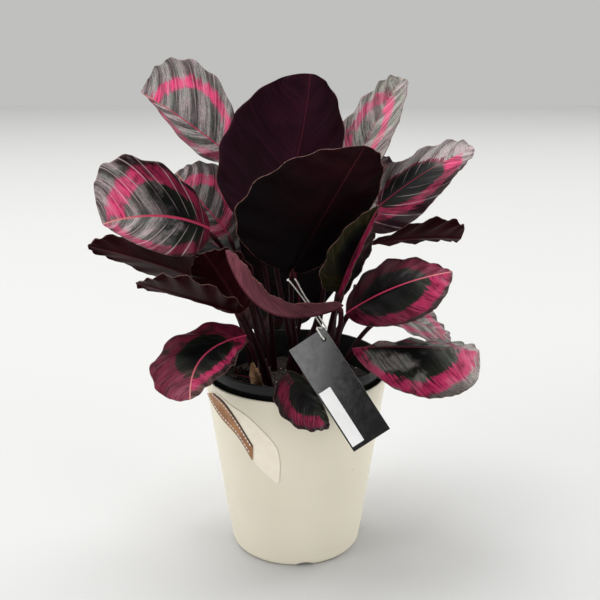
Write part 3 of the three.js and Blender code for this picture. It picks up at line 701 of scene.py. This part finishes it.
def blade(leaf, rows, half_columns):
    """The blade's upper and under grids of points, with what the shaders read at each."""
    base, tip = np.array(leaf["base"], float), np.array(leaf["tip"], float)
    chord = unit(tip - base)
    facing = np.array(leaf["face"], float)
    facing = unit(facing - chord * (facing @ chord))
    side = np.cross(chord, facing)
    middle = (base + tip) / 2 + 2 * leaf["arch"] * facing + 2 * leaf["bow"] * side
    x = np.linspace(0, 1, rows + 1)[:, None]
    signed = np.linspace(-1, 1, 2 * half_columns + 1)[None, :]
    across, sign = np.abs(signed), np.where(signed < 0, -1.0, 1.0)
    row = x - TIP_STRETCH * np.sin(2 * np.pi * x)
    pleat = np.cos(2 * np.pi * PLEATS * x)
    ends = 4 * row * (1 - row)
    along = np.minimum(1, row + VEIN_SWEEP * ends * across ** VEIN_CURVE)
    grid = along.shape
    point, forward = bezier((base, middle, tip), along.ravel())
    normal = unit(facing - forward * (forward @ facing)[:, None])
    right = np.cross(forward, normal).reshape(*grid, 3)
    normal = normal.reshape(*grid, 3)
    width = blade_width(along, leaf, sign)
    half = np.where(sign < 0, *leaf["half"]) * width
    fold = np.radians(np.where(sign < 0, *leaf["fold"])) * np.ones(grid)
    out = across * half * (1 + EDGE_SCALLOP * pleat * across)

    # The height of each point over the flat blade: fold, pleats, wandering edge and the fine relief
    lift = out * np.sin(fold)
    lift += leaf["relief"] * PLEAT_DEPTH * pleat * across ** PLEAT_GROWTH * np.minimum(1, PLEAT_FADE * ends)
    wander = np.sin(2 * np.pi * WANDER_TURNS * x + leaf["phase"] + sign)
    lift += leaf["relief"] * EDGE_WANDER * across ** 2 * np.minimum(1, WANDER_FADE * ends) * wander
    ripple = np.sin(2 * np.pi * RIPPLES * x + leaf["phase"] * 3)
    lift += RIPPLE_DEPTH * across ** RIPPLE_GROWTH * ends * ripple
    lift += FINE_VEIN_DEPTH * ends * across * np.cos(2 * np.pi * FINE_VEINS * x)
    lift -= GROOVE_DEPTH * ends ** 0.5 * np.exp(-(out / GROOVE_WIDTH) ** 2)

    level = right * (sign * out * np.cos(fold))[..., None]
    upper = point.reshape(*grid, 3) + level + normal * lift[..., None]
    outward = normal * np.cos(fold)[..., None] - right * (sign * np.sin(fold))[..., None]
    taper = (1 - KEEL_TAPER * x) * np.minimum(1, KEEL_FADE * ends)
    keel = KEEL_DEPTH * taper * np.exp(-(out / KEEL_WIDTH) ** 2)
    under = upper - outward * (EDGE_THICKNESS + keel)[..., None]
    oval = np.sqrt((across * width) ** 2 + ((along - RING_MIDDLE) / (1 - RING_MIDDLE)) ** 2)
    looks = dict(ring=np.maximum(oval, across * RING_AT_MARGIN), rib=out, rim=(1 - across) * half,
                 side=(signed + 1) / 2 * np.ones(grid), along=x - VEIN_LEAN * across * ends)
    return upper, under, looks


def stalk(leaf):
    """The stalk's points and faces, and how far along it each point lies."""
    soil = np.array((*leaf["foot"], SOIL_TOP), float)
    base, tip = np.array(leaf["base"], float), np.array(leaf["tip"], float)
    rise = base - soil
    reach = np.linalg.norm(rise)
    start = unit(rise * (STALK_LEAN, STALK_LEAN, 1))
    chord = unit(tip - base)
    enter = unit(STALK_ENTRY[0] * chord + STALK_ENTRY[1] * unit(rise))
    foot, end = soil - start * STALK_FOOT, base + chord * STALK_INTO_BLADE
    handles = foot + start * reach * STALK_HANDLES[0], end - enter * reach * STALK_HANDLES[1]
    t = np.linspace(0, 1, STALK_STEPS + 1)
    path, direction = bezier((foot, *handles, end), t)
    radii = STALK_RADIUS + (SHEATH_RADIUS - STALK_RADIUS) * np.maximum(0, 1 - SHEATH_TAPER * t)
    radii = radii * (1 + SWELLING * np.exp(-((t - RUN_OUT) / SWELLING_LENGTH) ** 2))

    # It runs out thin under the blade's midrib
    thin = np.clip((t - RUN_OUT) / (1 - RUN_OUT), 0, 1)
    radii = radii * (1 - RUN_OUT_THINNING * thin)
    path = path - unit(leaf["face"]) * (thin * RUN_OUT_DEPTH)[:, None]
    return *tube(path, direction, radii, STALK_SIDES), np.repeat(t, STALK_SIDES)


def leaf_piece(name, leaf, materials, rows, half_columns):
    """A blade of two sheets joined round the margin, and its stalk. materials are for the upper face,
    the under face and the stalk. Each end row is one point, so its other points are taken out."""
    upper, under, looks = blade(leaf, rows, half_columns)
    width = 2 * half_columns + 1
    count = (rows + 1) * width
    number = np.arange(count).reshape(rows + 1, width)
    number[[0, -1]] = number[[0, -1], :1]
    cells = cell_faces(number)
    sides = [side_faces(number[:, 0], count), side_faces(number[:, -1], count)[:, ::-1]]
    faces = np.concatenate([cells, cells[:, ::-1] + count, *sides])
    faces = [list(dict.fromkeys(face)) for face in faces.tolist()]
    slots = [0] * len(cells) + [1] * len(cells) + [0] * (2 * rows)
    stalk_points, stalk_faces, stalk_t = stalk(leaf)
    faces += [[2 * count + v for v in face] for face in stalk_faces]
    slots += [2] * len(stalk_faces)
    reads = {key: np.concatenate([value.ravel(), value.ravel(), stalk_t]) for key, value in looks.items()}
    uv = np.stack([reads.pop("side"), reads.pop("along")], 1)
    points = np.concatenate([upper.reshape(-1, 3), under.reshape(-1, 3), stalk_points])
    piece = mesh_piece(name, points, faces, materials, slots, reads, uv)
    edited(piece, lambda edit: bmesh.ops.delete(
        edit, geom=[v for v in edit.verts if not v.link_faces], context="VERTS"))
    return piece


def leaves():
    maroon = under_face("leaf_under_maroon", (0.034, 0.003, 0.006), (0.05, 0.006, 0.011), rimmed=0.35)
    purple = under_face("leaf_under_purple", (0.030, 0.0040, 0.013), (0.055, 0.008, 0.022))
    # Leaf 7's under face is a darker maroon that stands for painted shade, with more painted shade by its
    # base and a strong painted highlight on its margin
    dark = under_face("leaf_under_dark", (0.018, 0.0018, 0.004), (0.04, 0.004, 0.009), 0.95, 0.9)
    rose = under_face("leaf_under_rose", (0.28, 0.085, 0.11), (0.34, 0.12, 0.14), 0.65, 0.8)
    under_faces = {6: purple, 7: dark, 13: rose, 17: rose}
    skin, dry = stalk_skin(), dry_skin()
    for number, leaf in enumerate(LEAVES, 1):
        materials = (upper_face(number), under_faces.get(number, maroon), skin)
        piece = leaf_piece(f"leaf_{number:02d}_detail", leaf, materials, BLADE_ROWS, HALF_COLUMNS)
        place(piece, "leaf", f"leaf_{number:02d}")
    sheath = leaf_piece("dried_sheath_detail", DRIED_SHEATH, (dry,) * 3, SHEATH_ROWS, SHEATH_HALF_COLUMNS)
    place(sheath, "dried_sheath", "dried_sheath")


# The two pots

def turned(name, profile, sides, material):
    """A solid turned about the vertical axis from a profile of (radius, height)."""
    points, rings, faces = [], [], []
    angles = np.linspace(0, 2 * np.pi, sides, endpoint=False)
    for radius, height in profile:
        on_axis = radius == 0
        rings.append((len(points), on_axis))
        for angle in angles[:1] if on_axis else angles:
            points.append((radius * math.cos(angle), radius * math.sin(angle), height))
    for (a, a_on_axis), (b, b_on_axis) in zip(rings, rings[1:]):
        for k in range(sides):
            after = (k + 1) % sides
            lower = (a,) if a_on_axis else (a + k, a + after)
            upper = (b,) if b_on_axis else (b + after, b + k)
            faces.append(lower + upper)
    return mesh_piece(name, points, faces, (material,), sharp=35)


def arc(centre_radius, centre_height, radius, start, stop, steps):
    angles = np.radians(np.linspace(start, stop, steps + 1))
    return [(centre_radius + radius * math.cos(a), centre_height + radius * math.sin(a)) for a in angles]


def cut(piece, cutters):
    """The cutters are taken out of the piece, and are gone afterwards. Slivers go too."""
    for cutter in cutters:
        change = piece.modifiers.new("cut", "BOOLEAN")
        change.operation = "DIFFERENCE"
        change.solver = "MANIFOLD"
        change.object = cutter
    ready = piece.evaluated_get(bpy.context.evaluated_depsgraph_get())
    piece.data = bpy.data.meshes.new_from_object(ready)
    piece.modifiers.clear()
    edited(piece, lambda edit: bmesh.ops.dissolve_degenerate(edit, dist=2e-6, edges=edit.edges))
    face_outwards(piece)
    for cutter in cutters:
        bpy.data.objects.remove(cutter)


def post(radius_x, radius_y, length, matrix, sides=48):
    """An upright elliptical cylinder to cut with, put in its place by a matrix in millimetres."""
    angles = np.linspace(0, 2 * np.pi, sides, endpoint=False)
    points = [matrix @ Vector((radius_x * math.cos(a), radius_y * math.sin(a), z))
              for z in (-length / 2, length / 2) for a in angles]
    caps = [tuple(range(sides))[::-1], tuple(range(sides, 2 * sides))]
    return mesh_piece("cutter", points, ring_faces(0, 2, sides) + caps, sharp=35)


def pot_radius(z):
    return POT_FOOT_RADIUS + (POT_RIM_RADIUS - POT_FOOT_RADIUS) * z / POT_HEIGHT


def inner_radius(z):
    share = (z - INNER_FOOT_HEIGHT) / (INNER_RIM_HEIGHT - INNER_FOOT_HEIGHT)
    return INNER_FOOT_RADIUS + (INNER_TOP_RADIUS - INNER_FOOT_RADIUS) * share


def cream_plastic():
    s = Shader("cream_plastic")
    at = s.position()
    cloud = s.noise(at, 9.0, 3.0)
    grain = s.noise(at, 420.0, 2.0)
    dust = s.noise(at, 260.0, 1.0)
    scuff = s.drawn_noise(30.0, 240.0, 4.0, 0.7)
    colour = s.mix(cloud.smooth(0.3, 0.7), (0.78, 0.72, 0.58), (0.83, 0.77, 0.63))
    colour = s.mix(scuff.smooth(0.62, 0.82, 0.0, 0.3), colour, (0.55, 0.51, 0.42))
    colour = s.mix(dust.smooth(0.79, 0.82, 0.0, 0.6), colour, (0.35, 0.30, 0.24))
    rough = (cloud * 0.5 + scuff * 0.5).smooth(0.3, 0.7, 0.36, 0.5)
    return s.set(Base_Color=colour, Roughness=rough, Subsurface_Weight=0.08,
                 Subsurface_Radius=(0.004, 0.003, 0.002), Normal=s.bump(grain, 0.12, 0.0004))


def black_plastic():
    s = Shader("black_plastic")
    grain = s.noise(s.position(), 700.0, 2.0)
    dust = s.noise(s.position(), 120.0, 4.0, 0.7)
    colour = s.mix(dust.smooth(0.5, 0.75, 0.0, 0.5), (0.004, 0.0045, 0.0045), (0.022, 0.020, 0.018))
    return s.set(Base_Color=colour, Roughness=dust.smooth(0.4, 0.7, 0.4, 0.6), Specular_IOR_Level=0.25,
                 Normal=s.bump(grain, 0.2, 0.0004))


def outer_pot():
    foot_inside = POT_FOOT_RADIUS - FOOT_RING_WIDTH
    floor_height = DRAIN_CHANNEL_HEIGHT + POT_FLOOR
    rim_radius = POT_WALL / 2
    profile = [
        (0, 0), (CENTRE_DISC_RADIUS, 0), (CENTRE_DISC_RADIUS + CHANNEL_SLOPE, DRAIN_CHANNEL_HEIGHT),
        (foot_inside - CHANNEL_SLOPE, DRAIN_CHANNEL_HEIGHT), (foot_inside, 0),
        *arc(POT_FOOT_RADIUS - POT_FOOT_ROUNDING, POT_FOOT_ROUNDING, POT_FOOT_ROUNDING, -90, 0, 10),
        *[(pot_radius(z), z) for z in POT_WALL_RINGS],
        *arc(POT_RIM_RADIUS - rim_radius, POT_HEIGHT - rim_radius, rim_radius, 0, 180, 12),
        (pot_radius(floor_height) - POT_WALL, floor_height), (0, floor_height),
    ]
    pot = turned("outer_pot_shell", profile, POT_SIDES, cream_plastic())
    hole_radius = (CENTRE_DISC_RADIUS + foot_inside) / 2
    cutters = []
    for i in range(DRAIN_HOLES):
        around = Matrix.Rotation((i + 0.5) / DRAIN_HOLES * 2 * math.pi, 4, "Z")
        cutters.append(post(DRAIN_HOLE_RADIUS, DRAIN_HOLE_RADIUS, 3 * floor_height,
                            around @ Matrix.Translation((hole_radius, 0, 0))))
    lying = Matrix.Translation((POT_FOOT_RADIUS - FOOT_RING_WIDTH / 2, 0, 0)) \
        @ Matrix.Rotation(math.pi / 2, 4, "Y")
    for i in range(NOTCHES):
        around = Matrix.Rotation(math.radians(FIRST_NOTCH_DEGREES + i * 360 / NOTCHES), 4, "Z")
        cutters.append(post(NOTCH_HEIGHT, NOTCH_WIDTH / 2, 2.5 * FOOT_RING_WIDTH, around @ lying))
    cut(pot, cutters)
    place(pot, "cream_pot", "outer_pot")


def inner_pot():
    lip_foot = INNER_RIM_HEIGHT - INNER_LIP_HEIGHT
    floor_height = INNER_FOOT_HEIGHT + INNER_WALL
    profile = [
        (0, INNER_FOOT_HEIGHT), (INNER_FOOT_RADIUS - INNER_FOOT_BEVEL, INNER_FOOT_HEIGHT),
        (INNER_FOOT_RADIUS, INNER_FOOT_HEIGHT + INNER_FOOT_BEVEL), (inner_radius(lip_foot), lip_foot),
        *arc(INNER_LIP_RADIUS - LIP_FOOT_ROUNDING, lip_foot + LIP_FOOT_ROUNDING,
             LIP_FOOT_ROUNDING, -90, 0, 4),
        *arc(INNER_LIP_RADIUS - LIP_ROUNDING, INNER_RIM_HEIGHT - LIP_ROUNDING, LIP_ROUNDING, 0, 180, 10),
        (inner_radius(lip_foot) - INNER_WALL, lip_foot),
        (inner_radius(floor_height) - INNER_WALL, floor_height), (0, floor_height),
    ]
    place(turned("inner_pot_shell", profile, INNER_SIDES, black_plastic()), "nursery_pot", "inner_pot")


# Soil, with bark crumbs and a few white grains lying on it

def soil_look():
    s = Shader("potting_soil")
    tone = s.attribute("tone")
    clod = s.noise(s.position(), 150.0, 4.0, 0.7)
    grain = s.noise(s.position(), 900.0, 3.0, 0.7)
    colour = s.mix(clod.smooth(0.3, 0.7), (0.004, 0.0025, 0.002), (0.016, 0.009, 0.006))
    colour = s.mix(grain.smooth(0.55, 0.75, 0.0, 0.6), colour, (0.045, 0.026, 0.018))
    bark = s.mix(grain, (0.018, 0.007, 0.004), (0.075, 0.036, 0.02))
    colour = s.mix(tone.smooth(0.2, 0.4), colour, bark)
    colour = s.mix(tone.smooth(0.7, 0.9), colour, (0.5, 0.48, 0.43))
    return s.set(Base_Color=colour, Roughness=0.93, Normal=s.bump(clod * 0.7 + grain * 0.5, 0.8, 0.002))


def ground(points, height, scale, seed):
    """Smooth uneven ground about as high as height: waves of many directions added together."""
    random = np.random.default_rng(seed)
    total = np.zeros(len(points))
    for octave in range(GROUND_OCTAVES):
        for _ in range(GROUND_WAVES):
            angle, start = random.uniform(0, 2 * np.pi, 2)
            wave = 2 * np.pi * 2 ** octave / scale * random.uniform(*GROUND_SPREAD)
            phase = wave * (points[:, 0] * math.cos(angle) + points[:, 1] * math.sin(angle))
            total += np.sin(phase + start) / GROUND_FALLOFF ** octave / GROUND_WAVES
    return height * total


def shoulder(share):
    """How far the soil lies below its top at each share of the way from its middle to the pot."""
    return SOIL_SHOULDER * np.clip((share - SOIL_LEVEL_SHARE) / (1 - SOIL_LEVEL_SHARE), 0, 1)


def soil():
    floor_height = INNER_FOOT_HEIGHT + INNER_WALL + RESTING_GAP
    heights = (SOIL_TOP - SOIL_SHOULDER, floor_height)
    edge, foot = (inner_radius(z) - INNER_WALL - RESTING_GAP for z in heights)
    share = np.linspace(0, 1, SOIL_RINGS + 1)[1:, None] * np.ones(SOIL_SIDES)
    angle = np.linspace(0, 2 * np.pi, SOIL_SIDES, endpoint=False)
    flat = edge * np.stack([share * np.cos(angle), share * np.sin(angle)], -1).reshape(-1, 2)
    height = SOIL_TOP - shoulder(share.ravel()) + ground(flat, *HEAPS) + np.abs(ground(flat, *CLODS))
    points = [(0, 0, SOIL_TOP)] + [(x, y, z) for (x, y), z in zip(flat, height)]
    points += [(foot * math.cos(a), foot * math.sin(a), floor_height) for a in angle]
    count = len(points)
    faces = [(0, 1 + k, 1 + (k + 1) % SOIL_SIDES) for k in range(SOIL_SIDES)]
    faces += ring_faces(1, SOIL_RINGS + 1, SOIL_SIDES)
    faces.append(tuple(range(count - SOIL_SIDES, count))[::-1])
    tone = [0.0] * count

    # Crumbs: small rough lumps, each from a twelve-cornered ball with its corners moved
    random = np.random.default_rng(CRUMB_SEED)
    ball = bmesh.new()
    bmesh.ops.create_icosphere(ball, subdivisions=1, radius=1.0)
    corners = np.array([v.co for v in ball.verts])
    triangles = [[v.index for v in face.verts] for face in ball.faces]
    ball.free()
    for _ in range(CRUMBS):
        far = edge * CRUMB_SPREAD * math.sqrt(random.random())
        turn = random.uniform(0, 2 * math.pi)
        white = random.random() < WHITE_SHARE
        size = random.uniform(*(WHITE_SIZES if white else CRUMB_SIZES))
        stretch = np.array([1.0, random.uniform(*CRUMB_WIDTHS), random.uniform(*CRUMB_HEIGHTS)]) * size
        spin = Matrix.Rotation(random.uniform(*CRUMB_SPIN), 3, "Z")
        spin = spin @ Matrix.Rotation(random.uniform(*CRUMB_TILT), 3, "X")
        lump = corners * random.uniform(*CRUMB_CORNERS, corners.shape) * stretch @ np.array(spin).T
        lies = (far * math.cos(turn), far * math.sin(turn), SOIL_TOP - shoulder(far / edge) + CRUMB_RISE)
        start = len(points)
        points += (lump + lies).tolist()
        faces += [[start + v for v in triangle] for triangle in triangles]
        tone += [1.0 if white else random.uniform(*BARK_TONES)] * len(corners)
    surface = mesh_piece("soil_surface", points, faces, (soil_look(),), attributes=dict(tone=tone), sharp=50)
    place(surface, "potting_soil", "soil")


# The swing tag

TAG_DOWN_UNIT = unit(TAG_DOWN)
TAG_ACROSS = unit(np.array(TAG_ACROSS_HINT) - TAG_DOWN_UNIT * np.dot(TAG_ACROSS_HINT, TAG_DOWN_UNIT))
TAG_OUT = np.cross(TAG_DOWN_UNIT, TAG_ACROSS)


def tag_point(across, down, out):
    return np.array(TAG_TOP) + across * TAG_ACROSS + down * TAG_DOWN_UNIT + out * TAG_OUT


def card(name, left, top, width, length, back, front, corner, *materials):
    """A card in the tag's plane with rounded corners and softened edges. A second material is for
    its side."""
    right, bottom = left + width - corner, top + length - corner
    left, top = left + corner, top + corner
    outline = []
    for x, y, start in ((right, bottom, 0), (left, bottom, 90), (left, top, 180), (right, top, 270)):
        outline += arc(x, y, corner, start, start + 90, 5)
    outline = np.array(outline)
    soft = CARD_SOFTNESS * (front - back)
    inward = np.sign(np.array([left + right, top + bottom]) / 2 - outline)
    layers = [(back, soft), (back + soft, 0), (front - soft, 0), (front, soft)]
    points = [tag_point(*p, out) for out, inset in layers for p in outline + inward * inset]
    count = len(outline)
    faces = [tuple(range(count)), tuple(range(3 * count, 4 * count))[::-1], *ring_faces(0, 4, count)]
    slots = [0] * (2 + count) + [len(materials) - 1] * count + [0] * count
    return mesh_piece(name, points, faces, materials, slots, sharp=35)


def black_card():
    s = Shader("black_card")
    haze = s.noise(s.position(), 160.0, 4.0, 0.7)
    fleck = s.noise(s.position(), 900.0, 2.0)
    colour = s.mix(haze.smooth(0.35, 0.7), (0.0014, 0.0014, 0.0017), (0.0024, 0.0024, 0.003))
    rough = haze.smooth(0.35, 0.7, 0.10, 0.17) + fleck.smooth(0.62, 0.75, 0.0, 0.12)
    return s.set(Base_Color=colour, Roughness=rough, Specular_IOR_Level=0.5,
                 Normal=s.bump(haze, 0.02, 0.0006))


def paper(name, tint, shade):
    s = Shader(name)
    fibre = s.noise(s.position(), 1500.0, 3.0, 0.6)
    cloud = s.noise(s.position(), 60.0, 2.0)
    colour = s.mix((fibre * 0.5 + cloud * 0.5).smooth(0.35, 0.65), shade, tint)
    return s.set(Base_Color=colour, Roughness=0.62, Normal=s.bump(fibre, 0.15, 0.0002))


def tag():
    face = TAG_THICKNESS / 2
    core = paper("card_core", (0.46, 0.45, 0.43), (0.3, 0.3, 0.29))
    body = card("tag_card_body", -TAG_WIDTH / 2, 0, TAG_WIDTH, TAG_LENGTH, -face, face, TAG_CORNER,
                black_card(), core)
    axes = Matrix([TAG_DOWN_UNIT, TAG_ACROSS, TAG_OUT]).transposed().to_4x4()
    hole = Matrix.Translation(tag_point(HOLE_ACROSS, HOLE_DOWN, 0)) @ axes
    cut(body, [post(TAG_HOLE_RADIUS, TAG_HOLE_RADIUS, 6, hole)])
    place(body, "black_card", "tag_card")
    back, front = (face + rise for rise in STICKER_FACES)
    sticker = card("tag_sticker_face", STICKER_LEFT, STICKER_TOP, STICKER_WIDTH, STICKER_LENGTH, back, front,
                   STICKER_CORNER, paper("sticker_paper", (0.86, 0.86, 0.86), (0.8, 0.8, 0.8)))
    place(sticker, "white_paper", "tag_sticker")


# The tag's string, two strands twisted together in one closed loop

def closed_spline(points, steps):
    """The centripetal spline through a closed ring of points, at evenly spaced distances."""
    p = np.array(points, float)
    curve = []
    t = np.linspace(0, 1, STRING_SPAN_STEPS, endpoint=False)[:, None]
    for i in range(len(p)):
        p0, p1, p2, p3 = p[i - 1], p[i], p[(i + 1) % len(p)], p[(i + 2) % len(p)]
        d0, d1, d2 = (np.linalg.norm(b - a) ** 0.5 for a, b in ((p0, p1), (p1, p2), (p2, p3)))
        m1 = ((p1 - p0) / d0 - (p2 - p0) / (d0 + d1) + (p2 - p1) / d1) * d1
        m2 = ((p2 - p1) / d1 - (p3 - p1) / (d1 + d2) + (p3 - p2) / d2) * d1
        curve.append(p1 + m1 * t + (3 * (p2 - p1) - 2 * m1 - m2) * t ** 2
                     + (2 * (p1 - p2) + m1 + m2) * t ** 3)
    curve = np.concatenate(curve + [curve[0][:1]])
    far = travelled(curve)
    even = np.linspace(0, far[-1], steps, endpoint=False)
    return np.stack([np.interp(even, far, curve[:, k]) for k in range(3)], 1), far[-1]


def string_route():
    """Points round the loop: the tag's hole, up beside itself, round the stalk and back."""
    front, back = ([tag_point(HOLE_ACROSS, down, out) for down, out in run]
                   for run in (STRING_FRONT, STRING_BACK))
    spread, route = np.array(STRING_SPREAD), np.array(STRING_ROUTE, float)
    around = STALK_RADIUS + STRING_RADIUS + STRING_SLACK
    turn = [np.array(STRING_ROUND) + around * np.array([math.cos(a), math.sin(a), 0])
            for a in np.radians(STRING_TURN)]
    return [tag_point(HOLE_ACROSS, HOLE_DOWN, 0), *front, *(route + spread), *turn,
            *(route - spread)[::-1], *back]


def twisted_string():
    path, length = closed_spline(string_route(), STRING_STEPS)
    forward = unit(np.roll(path, -1, axis=0) - np.roll(path, 1, axis=0))
    sides = []
    side = unit(np.cross(forward[0], TUBE_REFERENCE))
    for d in forward:
        side = unit(side - d * (side @ d))
        sides.append(side)

    # The frame comes round to its start turned by a gap, which the twist takes up
    closing = side - forward[0] * (side @ forward[0])
    gap = math.atan2(np.dot(np.cross(sides[0], closing), forward[0]), np.dot(sides[0], closing))
    shift = round(gap / (2 * math.pi) * STRAND_SIDES)
    sides = np.array(sides)
    others = np.cross(forward, sides)
    twist = np.arange(STRING_STEPS) / STRING_STEPS * (2 * math.pi * round(length / STRING_PITCH) - gap)
    angle = np.linspace(0, 2 * np.pi, STRAND_SIDES, endpoint=False)[:, None]
    points, faces = [], []
    for strand in (0, math.pi):
        spin = (strand + twist)[:, None]
        centre = path + STRING_RADIUS * STRAND_OFFSET * (np.cos(spin) * sides + np.sin(spin) * others)
        start = len(points)
        for middle, side, other in zip(centre, sides, others):
            ring = np.cos(angle) * side + np.sin(angle) * other
            points += (middle + STRING_RADIUS * STRAND_RADIUS * ring).tolist()
        faces += ring_faces(start, STRING_STEPS, STRAND_SIDES)
        last = start + (STRING_STEPS - 1) * STRAND_SIDES
        for k in range(STRAND_SIDES):
            near = (last + k, last + (k + 1) % STRAND_SIDES)
            faces.append((*near, *(start + (k + j - shift) % STRAND_SIDES for j in (1, 0))))
    string = mesh_piece("tag_string_twist", points, faces, (string_look(),), sharp=80)
    place(string, "white_string", "tag_string")


def string_look():
    s = Shader("white_string")
    fibre = s.noise(s.position(), 2600.0, 3.0, 0.7)
    colour = s.mix(fibre, (0.75, 0.73, 0.68), (0.96, 0.94, 0.90))
    return s.set(Base_Color=colour, Roughness=0.85, Sheen_Weight=0.3, Sheen_Roughness=0.5,
                 Normal=s.bump(fibre, 0.6, 0.0003))


# The label on the cream pot and its stitched strap

def edge_spline(points, t):
    """A smooth line through points given as (degrees round, height)."""
    p = np.array(points, float)
    at = t * (len(p) - 1)
    i = np.minimum(at.astype(int), len(p) - 2)
    w = (at - i)[:, None]
    p0, p1, p2, p3 = p[np.maximum(i - 1, 0)], p[i], p[i + 1], p[np.minimum(i + 2, len(p) - 1)]
    v0, v1 = (p2 - p0) / 2, (p3 - p1) / 2
    return p1 + v0 * w + (3 * (p2 - p1) - 2 * v0 - v1) * w ** 2 + (2 * (p1 - p2) + v0 + v1) * w ** 3


def on_pot(at, out):
    """Points at (degrees round, height), this far out from the pot's wall."""
    around, height = np.radians(at[..., 0]), at[..., 1]
    radius = pot_radius(height) + out
    return np.stack([radius * np.cos(around), radius * np.sin(around), height], -1)


def between_edges(left, right, rows):
    """The two edges at each row, and how far they are apart."""
    t = np.linspace(0, 1, rows)
    first, last = edge_spline(left, t), edge_spline(right, t)
    return t, first, last, np.linalg.norm(on_pot(first, 0) - on_pot(last, 0), axis=1)


def wrapped(name, left, right, back, front, material, curl=0.0):
    """A thin sheet round the pot between two edges, its front edges rounded over. curl is how far
    its middle stands off."""
    t, first, last, width = between_edges(left, right, SHEET_ROWS + 1)
    u = (1 - np.cos(np.linspace(0, np.pi, SHEET_COLUMNS + 1))) / 2
    at = first[:, None] * (1 - u[None, :, None]) + last[:, None] * u[None, :, None]
    rim = np.minimum(u, 1 - u)[None, :] * width[:, None]
    off = curl * np.sin(np.pi * t)[:, None] * np.sin(np.pi * u)[None, :] ** 2
    depth, reach = SHEET_EDGE
    rounding = (front - back) * depth * np.exp(-(rim / reach) ** 2)
    points = np.concatenate([on_pot(at, front + off - rounding), on_pot(at, back + off)]).reshape(-1, 3)
    count = rim.size
    number = np.arange(count).reshape(rim.shape)
    cells = cell_faces(number)
    lines = (number[:, 0], number[:, -1], number[0], number[-1])
    faces = np.concatenate([cells, cells[:, ::-1] + count, *(side_faces(line, count) for line in lines)])
    edge = np.tile(rim.ravel(), 2)
    return mesh_piece(name, points, faces.tolist(), (material,), attributes=dict(rim=edge), sharp=60)


def leather():
    s = Shader("tan_leather")
    pores = s.cells(s.position(), 1100.0)
    cloud = s.noise(s.position(), 90.0, 4.0, 0.6)
    colour = s.mix(cloud.smooth(0.3, 0.7), (0.27, 0.11, 0.038), (0.43, 0.2, 0.075))
    colour = s.mix(pores.smooth(0.25, 0.0, 0.0, 0.5), colour, (0.13, 0.055, 0.024))
    colour = s.mix(s.attribute("rim").smooth(1.3, 0.9), colour, (0.05, 0.018, 0.012))
    return s.set(Base_Color=colour, Roughness=0.55, Normal=s.bump(pores, 0.5, 0.0005))


def label():
    card_paper = paper("label_card", (0.95, 0.88, 0.74), (0.88, 0.79, 0.65))
    sheet = wrapped("pot_label_sheet", LABEL_LEFT, LABEL_RIGHT, *LABEL_FACES, card_paper, LABEL_CURL)
    place(sheet, "white_paper", "pot_label")
    strap = wrapped("pot_label_strap_band", STRAP_LEFT, STRAP_RIGHT, *STRAP_FACES, leather())
    place(strap, "tan_leather", "pot_label_strap")


def strap_stitches():
    """Raised stitches along both edges of the strap."""
    points, faces = [], []
    t, first, last, width = between_edges(STRAP_LEFT, STRAP_RIGHT, SEAM_STEPS)
    s = np.linspace(0, 1, STITCH_STEPS)
    rise = STRAP_FACES[1] + STITCH_HUMP * np.sin(np.pi * s) ** 0.5 - STITCH_SUNK
    radii = STITCH_RADIUS * np.sin(np.pi * (STITCH_END + (1 - 2 * STITCH_END) * s)) ** 0.5
    for edge, opposite, inset in ((first, last, STITCH_INSETS[0]), (last, first, STITCH_INSETS[1])):
        share = np.clip(inset / width, 0, 0.5)[:, None]
        seam = edge * (1 - share) + opposite * share
        far = travelled(on_pot(seam, 0))
        start = STITCH_MARGINS[0]
        while start + STITCH_LENGTH < far[-1] - STITCH_MARGINS[1]:
            v = np.interp(start + s * STITCH_LENGTH, far, t)
            path = on_pot(np.stack([np.interp(v, t, seam[:, k]) for k in (0, 1)], -1), rise)
            thread, thread_faces = tube(path, unit(np.gradient(path, axis=0)), radii, STITCH_SIDES)
            faces += [[len(points) + k for k in face] for face in thread_faces]
            points += thread.tolist()
            start += STITCH_LENGTH + STITCH_GAP
    place(mesh_piece("strap_stitches", points, faces, (string_look(),), sharp=80), "white_string")


leaves()
outer_pot()
inner_pot()
soil()
tag()
twisted_string()
label()
strap_stitches()

# Camera, floor and light

scene = bpy.context.scene
camera = bpy.data.objects.new("camera", bpy.data.cameras.new("camera"))
scene.collection.objects.link(camera)
camera.data.lens = CAMERA_LENS
camera.data.sensor_width = CAMERA_SENSOR
camera.location = Vector(CAMERA_AT) * MM
camera.rotation_euler = (math.radians(90 - CAMERA_PITCH), 0, 0)
bpy.context.scene.camera = camera

floor_corners = [(x * FLOOR_REACH, y * FLOOR_REACH, 0) for x, y in ((-1, -1), (1, -1), (1, 1), (-1, 1))]
floor_look = Shader("pale_floor").set(Base_Color=FLOOR_COLOUR, Roughness=0.8)
mesh_piece("floor", floor_corners, [(0, 1, 2, 3)], (floor_look,))

for name, at, aim, size, power in LAMPS:
    light = bpy.data.lights.new(name, "AREA")
    light.shape = "SQUARE"
    light.size = size
    light.energy = power
    lamp = bpy.data.objects.new(name, light)
    lamp.location = at
    lamp.rotation_mode = "QUATERNION"
    lamp.rotation_quaternion = (Vector(aim) - Vector(at)).to_track_quat("-Z", "Y")
    scene.collection.objects.link(lamp)

scene.world = bpy.data.worlds.new("soft_white")
scene.world.use_nodes = True
sky = Tree(scene.world.node_tree)
towards_back = sky.split(sky.node("TexCoord", {}, "Generated"))[1]
surroundings = towards_back.smooth(*WORLD_CHANGE, WORLD_FRONT, WORLD_BACK)
seen = sky.node("LightPath", {}, "Is Camera Ray")
background = sky.nodes["Background"]
sky.put(background.inputs["Strength"], sky.node("Mix", {0: seen, 2: surroundings, 3: BACKDROP}))
sky.put(background.inputs["Color"], WORLD_COLOUR)
scene.view_settings.view_transform = "Standard"
